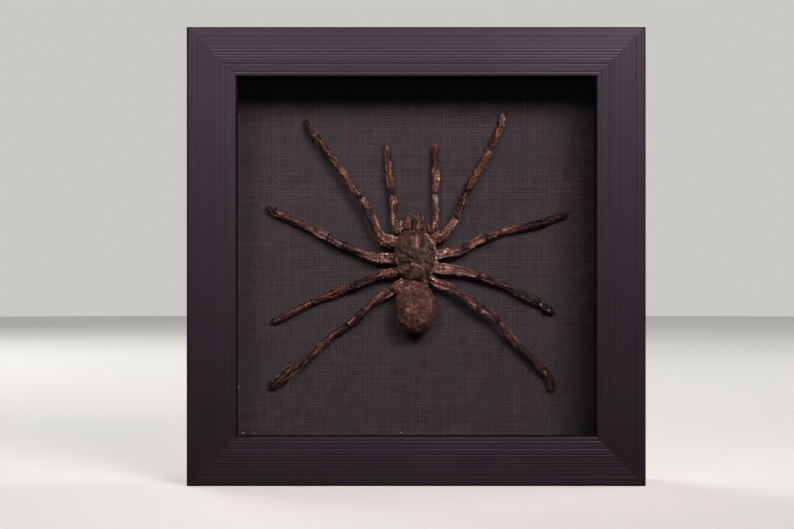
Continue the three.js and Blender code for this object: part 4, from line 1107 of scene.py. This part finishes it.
def shape_limb(piece, notes, settings, seed):
    """Shrinks a limb's skin into strips, folds, rings and scales, and paints it."""
    points, normals = points_of(piece), points_of(piece, "normal")
    s, angle, radius, _ = along_limb(points)
    s = notes["length"] + (s - s.max()) / MM
    radius_mm = np.maximum(radius / MM, 0.4)
    around = np.column_stack((np.cos(angle), np.sin(angle)))
    strips = lumps(np.column_stack((0.15 * s, 1.2 * around)), 1.0, seed)
    threads = lumps(np.column_stack((0.35 * s, 3.2 * around)), 1.0, seed + 20)
    big, middle, small = (lumps(points, size * MM, seed + k) for size, k in LIMB_LUMPS)
    cracked = np.clip((notes["coxa"] + 2.0 - s) / 3.0, 0, 1)
    inside = splits(points + 0.3 * MM * middle[:, None], SCALE_SIZE * MM, seed)
    crack = cracked * (1 - inside)

    rings, collars = np.zeros(len(s)), np.zeros(len(s))
    for at, depth in notes["joints"]:
        here = s + 0.4 * np.sin(angle + at) + 0.25 * middle
        rings += depth * near_line(here, at, RING_WIDTH)
        for beside in (-COLLAR_AT, COLLAR_AT):
            collars += (0.4 + 0.6 * depth) * near_line(here, at + beside, COLLAR_WIDTH)
    push = radius_mm * (settings.furrow * (strips - 0.25) - 0.22 * rings) + 0.10 * threads + 0.16 * collars
    push += 0.18 * big + 0.16 * middle + 0.10 * small + cracked * (0.22 * inside - 0.12)
    fray = np.clip((s - notes.get("fray", 1000)) / 5.0, 0, 1)
    push += fray * (0.5 * threads - 0.3)
    push *= np.clip((notes["length"] - s) / 1.2, 0, 1)
    place_points(piece, points + normals * (push * MM)[:, None])

    stops = [at for at, _ in notes["tints"]]
    table = np.array([tint(name) for _, name in notes["tints"]])
    wander = s + 0.8 * big
    colours = np.column_stack([np.interp(wander, stops, table[:, k]) for k in range(3)])
    for start, end, degrees, size, name in notes["marks"]:
        off_s = np.maximum(0, np.maximum(start - wander, wander - end))
        turn = np.abs((angle + 0.25 * middle - math.radians(degrees) + math.pi) % (2 * math.pi) - math.pi)
        weight = np.exp(-((off_s / size) ** 2) - (turn * radius_mm / size) ** 2)
        colours = blend_tint(colours, name, 0.95 * weight)
    mottle = 0.4 * strips + (0.35 + 0.6 * fray) * threads + 0.25 * middle + 0.35 * small
    colours = colours * np.exp(mottle)[:, None]
    colours = blend_tint(colours, "cream", 0.4 * np.clip((small + 0.7 * middle - 0.65) / 0.3, 0, 1))
    colours = blend_tint(colours, "plum", 0.8 * np.clip((-small - 0.8 * threads - 0.6) / 0.3, 0, 1))
    colours = blend_tint(colours, "cream", 0.4 * cracked * inside * np.clip(0.5 + middle, 0, 1))
    colours = blend_tint(colours, "rust", 0.95 * crack)
    colours = blend_tint(colours, "cocoa", 0.8 * np.clip(rings, 0, 1))
    shade = notes.get("shade", LIMB_SHADE)
    # From "fray" on, the skin under the loose strands is darkened by half: painted shade beneath them.
    colours = colours * ((shade + (SCALE_SHADE - shade) * cracked) * (1 - 0.5 * fray))[:, None]
    # How far each place lies in a hollow or on a ridge, kept for the material's painted shade and light.
    relief_shade = 0.5 * strips + 0.5 * threads + 0.6 * small - rings - 0.6 * crack
    store(piece, "Tint", "FLOAT_COLOR", with_alpha(colours))
    store(piece, "Relief", "FLOAT", np.clip(relief_shade, -1, 1))
    store(piece, "Along", "FLOAT_VECTOR", np.column_stack((s, 1.9 * around + (0, 7.0 * seed))))


# ------------------------------------------------------------------ the body


def nearness(x, z, path, width):
    """1 on a path of straight stretches and 0 away from it."""
    gap = np.full(len(x), np.inf)
    for (x0, z0), (x1, z1) in zip(path, path[1:] or path):
        run_x, run_z = x1 - x0, z1 - z0
        share = ((x - x0) * run_x + (z - z0) * run_z) / max(run_x**2 + run_z**2, 1e-9)
        share = np.clip(share, 0, 1)
        gap = np.minimum(gap, np.hypot(x - x0 - share * run_x, z - z0 - share * run_z))
    return np.exp(-((gap / width) ** 2))


def brush(colours, x, z, facing, strokes):
    """Paints the strokes on the side that faces out, and gives how far they stand proud."""
    rise = np.zeros(len(x))
    for path, width, name, strength, proud in strokes:
        weight = nearness(x, z, path, width) * facing
        colours = blend_tint(colours, name, strength * weight)
        rise += proud * weight
    return colours, rise


def from_middle(points):
    """x, z and height over the linen in millimetres, from the middle of the carapace."""
    local = (points - SPIDER) / MM
    return local[:, 0], local[:, 2], -local[:, 1]


# Millimetres from the middle of the carapace: the fovea, where the furrows meet, and how far and how
# many they run; each eye's place and radius; where the abdomen's waist ends, and the width of a pucker.
FOVEA = (0.6, -2.6)
FURROW_REACH, FURROW_COUNT = 11.5, 9
EYES = (
    (-1.9, 9.6, 0.45), (-0.3, 9.7, 0.45), (-2.4, 10.3, 0.35), (0.3, 10.3, 0.35),
    (-2.6, 9.1, 0.3), (0.5, 9.2, 0.3), (-1.1, 10.5, 0.3))
WAIST_END = -15.5
PUCKER_WIDTH = 1.7


def shape_carapace(piece):
    """Radial furrows from the fovea's pits, a head with its eye hill, and a thin pale rim."""
    points, normals = points_of(piece), points_of(piece, "normal")
    x, z, height = from_middle(points)
    big, middle, small = (lumps(points, size * MM, k) for size, k in ((2.6, 3), (1.2, 4), (0.6, 9)))
    facing = np.clip(0.35 - 1.6 * normals[:, 1], 0, 1)
    across, ahead = x - FOVEA[0], z - FOVEA[1]
    reach = np.hypot(across, ahead)
    ends = np.clip(reach / 3, 0, 1) * np.clip((FURROW_REACH - reach) / 3, 0, 1)
    rays = np.cos(FURROW_COUNT * np.arctan2(across, ahead) + 0.8 * big) * ends
    eyes = sum(near_line(np.hypot(x - eye_x, z - eye_z), 0, radius) for eye_x, eye_z, radius in EYES)
    colours = np.tile(0.18 * tint("umber") + 0.42 * tint("olive") + 0.4 * tint("tan"), (len(x), 1))
    colours, rise = brush(colours, x + 0.35 * middle, z + 0.35 * big, facing, SHELL_STROKES)
    push = facing * (0.16 * rays + 0.35 * eyes + rise) + 0.14 * big + 0.08 * middle + 0.05 * small
    place_points(piece, points + normals * (push * MM)[:, None])
    mottle = 0.42 * rays * facing + 0.1 * big + 0.14 * middle + 0.2 * small
    colours = colours * BODY_SHADE * np.exp(mottle)[:, None]
    colours = blend_tint(colours, "cream", 0.2 * np.clip((small + 0.7 * middle - 0.6) / 0.3, 0, 1))
    colours = blend_tint(colours, "plum", 0.3 * np.clip((-small - 0.7 * middle - 0.6) / 0.3, 0, 1))
    # The low sides, near the linen, are darkened: painted shade.
    colours = blend_tint(colours, "umber", 0.7 * np.clip((7.6 - height) / 1.0, 0, 1))
    store(piece, "Tint", "FLOAT_COLOR", with_alpha(colours))
    # Kept for the material's painted shade in the furrows and painted light on what stands proud.
    store(piece, "Relief", "FLOAT", np.clip(0.3 * rays * facing + 0.5 * small + 0.4 * middle, -1, 1))


def shape_abdomen(piece):
    """A dried sac: creased lengthwise, puckered at the waist and sunken towards its hind end."""
    points, normals = points_of(piece), points_of(piece, "normal")
    x, z, height = from_middle(points)
    big, middle, small = (lumps(points, size * MM, k) for size, k in ((3.0, 6), (1.3, 7), (0.6, 8)))
    facing = np.clip(0.35 - 1.6 * normals[:, 1], 0, 1)
    waist = np.clip((z - WAIST_END) / 3.0, 0, 1)
    pucker = np.sin(2 * math.pi * (x + 0.6 * big) / PUCKER_WIDTH) * waist
    colours = np.tile(0.32 * tint("tan") + 0.26 * tint("olive") + 0.42 * tint("cream"), (len(x), 1))
    colours = blend_tint(colours, "umber", 0.12 + 0.4 * big)
    colours, rise = brush(colours, x + 0.4 * middle, z + 0.4 * big, facing, SAC_STROKES)
    push = facing * rise + 0.16 * pucker + 0.3 * big + 0.12 * middle + 0.05 * small
    place_points(piece, points + normals * (push * MM)[:, None])
    colours = colours * BODY_SHADE * np.exp(0.24 * big + 0.3 * middle + 0.32 * small)[:, None]
    colours = blend_tint(colours, "cream", 0.3 * np.clip((small + 0.7 * middle - 0.5) / 0.3, 0, 1))
    # The underside, near the linen, is darkened almost to cocoa: painted shade.
    colours = blend_tint(colours, "cocoa", 0.85 * np.clip((8.2 - height) / 3.0, 0, 1))
    store(piece, "Tint", "FLOAT_COLOR", with_alpha(colours))
    # Kept for the material's painted shade in the creases and painted light on what stands proud.
    store(piece, "Relief", "FLOAT", np.clip(0.5 * small + 0.4 * middle + 0.4 * pucker, -1, 1))


# ------------------------------------------------------------------ bristles and claws


def hair_pattern():
    """One bristle: a three-sided cone with a ring half way, one long and one thick."""
    bpy.ops.mesh.primitive_cone_add(vertices=3, radius1=1, radius2=0, depth=1, location=(0, 0, 0.5))
    hair = named("bristle_pattern")
    edit(hair)
    bpy.ops.mesh.select_all(action="SELECT")
    bpy.ops.mesh.bisect(plane_co=(0, 0, 0.5), plane_no=(0, 0, 1))
    pick(hair, "verts", lambda v: abs(v.co.z - 0.5) < 1e-4)
    bpy.ops.transform.resize(value=(1.5, 1.5, 1), center_override=(0, 0, 0.5))
    leave()
    points = points_of(hair)
    faces = [list(face.vertices) for face in hair.data.polygons]
    bpy.data.objects.remove(hair)
    return points, faces


def plant(name, pattern, roots, directions, curls, lengths, radii, colours):
    """Copies the bristle to each root, along its direction and bent by its curl, as one mesh."""
    shape, faces = pattern
    side = unit(np.cross(directions, OUT + 0.01))
    other = np.cross(side, directions)
    t = shape[:, 2]
    places = (
        roots[:, None]
        + shape[None, :, 0, None] * (side * radii[:, None])[:, None]
        + shape[None, :, 1, None] * (other * radii[:, None])[:, None]
        + t[None, :, None] * (directions * lengths[:, None])[:, None]
        + (t**2)[None, :, None] * (curls * lengths[:, None])[:, None]
    )
    every = [[i + n * len(shape) for i in face] for n in range(len(roots)) for face in faces]
    mesh = bpy.data.meshes.new(name)
    mesh.from_pydata(places.reshape(-1, 3), [], every)
    piece = bpy.data.objects.new(name, mesh)
    bpy.context.scene.collection.objects.link(piece)
    store(piece, "Tint", "FLOAT_COLOR", with_alpha(np.repeat(colours, len(shape), axis=0)))
    return piece


def colours_of(piece):
    data = np.empty(len(piece.data.vertices) * 4, np.float32)
    piece.data.attributes["Tint"].data.foreach_get("color", data)
    return data.reshape(-1, 4)[:, :3].astype(float)


def bristle_limb(skin, node, pattern, settings, seed, material):
    """Sets bristles on a limb, leaning towards its tip, with loose strands and two claws at the end."""
    rng = np.random.default_rng(100 + seed)
    points, normals, colours = points_of(skin), points_of(skin, "normal"), colours_of(skin)
    s, angle, _, direction = along_limb(points)
    s = LIMBS[node]["length"] + (s - s.max()) / MM
    length = s.max()
    count = int(settings.bristle_density * length)
    odds = np.clip(0.25 + s / length, 0, 1) * np.clip(0.35 - normals[:, 1], 0.05, 1.2)
    chosen = rng.choice(len(points), count, p=odds / odds.sum())
    lean = rng.uniform(0.1, 0.8, count)[:, None]
    ways = normals[chosen] * lean + direction[chosen] * (1 - lean * 0.4)
    ways = unit(ways + rng.normal(0, 0.2, (count, 3)))
    lengths = settings.bristle_length * rng.lognormal(-0.25, 0.4, count)
    radii = 0.05 * MM * rng.uniform(0.7, 1.3, count)
    bright = rng.lognormal(0.0, 0.55, count)[:, None]
    parts = [(points[chosen], ways, -0.2 * normals[chosen], lengths, radii, colours[chosen] * bright)]
    for limb, start, end, degrees, spread, amount, long, thick, names in TUFTS:
        if limb != node:
            continue
        turn = np.abs((angle - math.radians(degrees) + math.pi) % (2 * math.pi) - math.pi)
        near = np.flatnonzero((s > start) & (s < end) & (turn < math.radians(spread) / 2))
        picked = rng.choice(near, amount)
        tilt = rng.uniform(0.05, 0.45, amount)[:, None]
        ways = unit(normals[picked] * tilt + direction[picked] + rng.normal(0, 0.13, (amount, 3)))
        lengths = long * MM * rng.uniform(0.5, 1.0, amount)
        radii = thick * MM * rng.uniform(0.6, 1.2, amount)
        shades = np.array([tint(names[i % len(names)]) for i in range(amount)])
        parts.append((points[picked], ways, -0.2 * normals[picked], lengths, radii, shades))
    end = np.flatnonzero(s > length - 1.2)
    tip, way = points[end].mean(axis=0), unit(direction[end].mean(axis=0))
    across = unit(np.cross(way, OUT))
    roots = np.array([tip + k * 0.35 * MM * across for k in (-1, 1)])
    ways = np.array([unit(way + k * 0.3 * across) for k in (-1, 1)])
    parts.append((roots, ways, np.tile(-0.4 * OUT, (2, 1)), np.full(2, 1.5 * MM), np.full(2, 0.16 * MM),
                  np.tile(tint("black"), (2, 1))))
    joined = [np.concatenate(columns) for columns in zip(*parts)]
    piece = plant(f"{node}_bristles", pattern, *joined)
    dress(piece, material)
    return mount(piece, "legs")


def velvet(skin, name, pattern, count, length, flow, material, material_slot):
    """Short hair all over a body part, lying along a flow given for each point."""
    rng = np.random.default_rng(count)
    points, normals, colours = points_of(skin), points_of(skin, "normal"), colours_of(skin)
    odds = np.clip(0.3 - normals[:, 1], 0.02, 1)
    chosen = rng.choice(len(points), count, p=odds / odds.sum())
    way = flow(points[chosen])
    way = unit(way - (way * normals[chosen]).sum(axis=1)[:, None] * normals[chosen])
    lean = rng.uniform(0.15, 0.6, count)[:, None]
    ways = unit(way + normals[chosen] * lean + rng.normal(0, 0.22, (count, 3)))
    lengths = length * rng.lognormal(-0.1, 0.35, count)
    bright = rng.lognormal(0.0, 0.4, count)[:, None]
    piece = plant(name, pattern, points[chosen], ways, -0.25 * normals[chosen], lengths,
                  np.full(count, 0.045 * MM), colours[chosen] * bright)
    dress(piece, material)
    return mount(piece, material_slot)


# ------------------------------------------------------------------ operators


class SPECIMEN_OT_moulding(bpy.types.Operator):
    """Build the four mitred rails of the moulding"""

    bl_idname = "specimen.moulding"
    bl_label = "Moulding"

    def execute(self, context):
        build_rails(context.scene.specimen_box)
        return {"FINISHED"}


class SPECIMEN_OT_glazing(bpy.types.Operator):
    """Finish the glass and the black spacers behind it"""

    bl_idname = "specimen.glazing"
    bl_label = "Glass and spacers"

    def execute(self, context):
        dress(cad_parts["glass"], picture_glass())
        black = spacer_board()
        for side in ("top", "bottom", "left", "right"):
            dress(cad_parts[f"spacer_{side}"], black)
        return {"FINISHED"}


class SPECIMEN_OT_linen(bpy.types.Operator):
    """Weave the linen and stretch it over the board"""

    bl_idname = "specimen.linen"
    bl_label = "Linen"

    def execute(self, context):
        settings = context.scene.specimen_box
        cloth = build_linen_sheet(settings)
        dress(cloth, linen_cloth(tuple(settings.linen_colour), 2 * CLOTH_HALF / (settings.threads + 1)))
        mount(cloth, "linen", "linen")
        return {"FINISHED"}


class SPECIMEN_OT_backing(bpy.types.Operator):
    """Finish the mount board and the hardboard back"""

    bl_idname = "specimen.backing"
    bl_label = "Boards"

    def execute(self, context):
        dress(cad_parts["mount_board"], mount_card())
        dress(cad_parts["back_panel"], hardboard())
        return {"FINISHED"}


class SPECIMEN_OT_hardware(bpy.types.Operator):
    """Finish the steel tabs and round the edges of the hanger and its nails"""

    bl_idname = "specimen.hardware"
    bl_label = "Tabs and hanger"

    def execute(self, context):
        zinc = plated_steel("steel_zinc_plated", "#BFC1C4", "#8C8E91", 0.5)
        brass = plated_steel("steel_brass_plated", "#D2B679", "#A08A58", 0.46)
        for side in ("bottom", "left", "top", "right"):
            for i in (1, 2):
                dress(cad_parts[f"tab_{side}_{i}"], zinc)
        for node, width in (("hanger", 0.12), ("hanger_nail_left", 0.3), ("hanger_nail_right", 0.3)):
            piece = copy_node(node, f"{node}_rounded")
            modify(piece, "BEVEL", width=width * MM, segments=3, limit_method="ANGLE",
                   angle_limit=math.radians(35))
            bpy.ops.object.shade_smooth_by_angle(angle=math.radians(30))
            dress(piece, brass)
            mount(piece, "hanger", node)
        return {"FINISHED"}


class SPECIMEN_OT_body(bpy.types.Operator):
    """Shape and paint the carapace and the abdomen"""

    bl_idname = "specimen.body"
    bl_label = "Carapace and abdomen"

    def execute(self, context):
        settings = context.scene.specimen_spider
        pattern = hair_pattern()
        hair = bristle_hair()
        shell = skin_copy("carapace", settings)
        shape_carapace(shell)
        dress(shell, body_skin("chitin_shell_dried", 0.6, 0.05, 1.1 * MM))
        mount(shell, "carapace", "carapace")
        sac = skin_copy("abdomen", settings)
        shape_abdomen(sac)
        dress(sac, body_skin("skin_velvet_dried", 0.8, 0.1, 1.4 * MM))
        mount(sac, "abdomen", "abdomen")
        velvet(shell, "carapace_velvet", pattern, 2600, 0.8 * settings.velvet_length,
               lambda at: unit(at - SPIDER - np.array((0.0, 0.0, -4 * MM))), hair, "carapace")
        velvet(sac, "abdomen_velvet", pattern, settings.velvet_count, settings.velvet_length,
               lambda at: np.tile(DOWN, (len(at), 1)), hair, "abdomen")
        return {"FINISHED"}


class SPECIMEN_OT_chelicerae(bpy.types.Operator):
    """Shape and paint the two chelicerae"""

    bl_idname = "specimen.chelicerae"
    bl_label = "Chelicerae"

    def execute(self, context):
        settings = context.scene.specimen_spider
        skin = dried_cuticle()
        for seed, node in enumerate(CHELICERA_NODES):
            piece = skin_copy(node, settings)
            shape_limb(piece, LIMBS[node], settings, 60 + seed)
            dress(piece, skin)
            mount(piece, "carapace", node)
        return {"FINISHED"}


class SPECIMEN_OT_legs(bpy.types.Operator):
    """Shape, paint and bristle the eight legs and the two palps"""

    bl_idname = "specimen.legs"
    bl_label = "Legs and palps"

    def execute(self, context):
        settings = context.scene.specimen_spider
        pattern = hair_pattern()
        skin, hair = dried_cuticle(), bristle_hair()
        for seed, node in enumerate(LEG_NODES + PALP_NODES):
            piece = skin_copy(node, settings)
            shape_limb(piece, LIMBS[node], settings, seed)
            dress(piece, skin)
            mount(piece, "legs", node)
            bristle_limb(piece, node, pattern, settings, seed, hair)
        return {"FINISHED"}


class SPECIMEN_OT_dust(bpy.types.Operator):
    """Lay a few specks of lint along the edges of the linen"""

    bl_idname = "specimen.dust"
    bl_label = "Dust"

    def execute(self, context):
        white = lint()
        for i, (x, z, size) in enumerate(DUST):
            place = (x * MM, CLOTH_Y - 0.4 * size * MM, BOX_HALF + z * MM)
            bpy.ops.mesh.primitive_ico_sphere_add(subdivisions=2, radius=size * MM / 2, location=place)
            speck = named(f"lint_{i + 1}")
            points = points_of(speck)
            middle = points.mean(axis=0)
            ragged = 1 + 0.5 * lumps(points, 0.2 * MM, i)
            place_points(speck, middle + (points - middle) * ragged[:, None])
            dress(speck, white)
            mount(speck, "linen")
        return {"FINISHED"}


# The lamps: place and target in metres, width and height, the spread of the beam in degrees, colour.
# The fill only softens the shade inside the box, so it has no reflection.
ROSE, WHITE = (1.0, 0.88, 0.94), (1.0, 1.0, 1.0)
LAMPS = {
    "key": ((0.26, -0.6, 0.44), (0.0, 0.0, 0.14), (0.36, 0.2), 60, ROSE),
    "side": ((-0.22, -0.6, 0.43), (-0.05, 0.0, 0.14), (0.2, 0.16), 30, ROSE),
    "fill": ((0.0, -0.9, 0.2), (0.0, 0.0, 0.1), (0.5, 0.5), 180, WHITE),
    "back": ((-0.9, 1.3, 1.1), (0, 0, 0.05), (0.9, 0.9), 180, WHITE),
    "rim": ((1.5, 0.7, 0.8), (0, 0, 0.1), (0.9, 0.9), 180, WHITE),
}
FLOOR_RADIUS = 3.0
FLOOR_GAP = 0.02 * MM  # the floor lies this little below the box, so that the two don't flicker


class SPECIMEN_OT_stage(bpy.types.Operator):
    """Set the camera, the lamps, the floor and the surroundings"""

    bl_idname = "specimen.stage"
    bl_label = "Stage"

    def execute(self, context):
        settings = context.scene.specimen_stage
        scene = context.scene
        camera = bpy.data.objects.new("camera", bpy.data.cameras.new("camera"))
        camera.data.lens = settings.lens
        camera.data.sensor_width = 36.0
        camera.location = (settings.camera_offset, FRONT_Y - settings.camera_distance, settings.camera_height)
        camera.rotation_euler = (math.pi / 2, 0, 0)
        camera.data.clip_start, camera.data.clip_end = 0.01, 100.0
        scene.collection.objects.link(camera)
        scene.camera = camera
        scene.view_settings.view_transform = "Standard"

        for name, (place, target, size, spread, colour) in LAMPS.items():
            light = lamp(scene, name, place, target, getattr(settings, f"{name}_power"), size, spread)
            light.data.color = colour
            light.visible_glossy = name != "fill"

        world = bpy.data.worlds.new("surroundings")
        scene.world = world
        world.use_nodes = True
        tree = world.node_tree
        tree.nodes.clear()
        path = put(tree, "LightPath")
        dim = put(tree, "Background", {"Color": linear("#F2F1EE"), "Strength": 0.012})
        pale = put(tree, "Background", {"Color": linear("#C9C8C5"), "Strength": 1.0})
        mix = put(tree, "MixShader", {0: (path, "Is Camera Ray"), 1: (dim, 0), 2: (pale, 0)})
        put(tree, "OutputWorld", {"Surface": (mix, 0)})

        bpy.ops.mesh.primitive_circle_add(
            vertices=96, radius=FLOOR_RADIUS, fill_type="NGON", location=(0, 0, -FLOOR_GAP))
        floor = named("floor")
        dress(floor, studio_floor(tuple(settings.floor_colour)))
        return {"FINISHED"}


def lamp(scene, name, place, target, power, size, spread):
    """A soft lamp that points at a place: its width and height, and how far its beam spreads."""
    light = bpy.data.lights.new(name, "AREA")
    light.energy = power
    light.shape = "RECTANGLE"
    light.size, light.size_y = size
    light.spread = math.radians(spread)
    obj = bpy.data.objects.new(name, light)
    obj.location = place
    obj.rotation_euler = (Vector(target) - Vector(place)).to_track_quat("-Z", "Y").to_euler()
    obj.visible_camera = False
    scene.collection.objects.link(obj)
    return obj


OPERATORS = (
    SPECIMEN_OT_moulding, SPECIMEN_OT_glazing, SPECIMEN_OT_linen, SPECIMEN_OT_backing,
    SPECIMEN_OT_hardware, SPECIMEN_OT_body, SPECIMEN_OT_chelicerae, SPECIMEN_OT_legs,
    SPECIMEN_OT_dust, SPECIMEN_OT_stage,
)


class SPECIMEN_PT_panel(bpy.types.Panel):
    """The pieces of the specimen, in the order in which they are built"""

    bl_idname = "SPECIMEN_PT_panel"
    bl_label = "Framed tarantula"
    bl_space_type = "VIEW_3D"
    bl_region_type = "UI"
    bl_category = "Specimen"

    def draw(self, context):
        scene = context.scene
        for settings in (scene.specimen_box, scene.specimen_spider, scene.specimen_stage):
            box = self.layout.box()
            for name in settings.__annotations__:
                box.prop(settings, name)
        for operator in OPERATORS:
            self.layout.operator(operator.bl_idname)


CLASSES = (BoxSettings, SpiderSettings, StageSettings, *OPERATORS, SPECIMEN_PT_panel)


def register():
    for cls in CLASSES:
        bpy.utils.register_class(cls)
    bpy.types.Scene.specimen_box = bpy.props.PointerProperty(type=BoxSettings)
    bpy.types.Scene.specimen_spider = bpy.props.PointerProperty(type=SpiderSettings)
    bpy.types.Scene.specimen_stage = bpy.props.PointerProperty(type=StageSettings)


def unregister():
    del bpy.types.Scene.specimen_stage
    del bpy.types.Scene.specimen_spider
    del bpy.types.Scene.specimen_box
    for cls in reversed(CLASSES):
        bpy.utils.unregister_class(cls)


def main():
    register()
    bpy.ops.specimen.stage()
    bpy.ops.specimen.moulding()
    bpy.ops.specimen.glazing()
    bpy.ops.specimen.linen()
    bpy.ops.specimen.backing()
    bpy.ops.specimen.hardware()
    bpy.ops.specimen.body()
    bpy.ops.specimen.chelicerae()
    bpy.ops.specimen.legs()
    bpy.ops.specimen.dust()


if __name__ == "__main__":
    main()
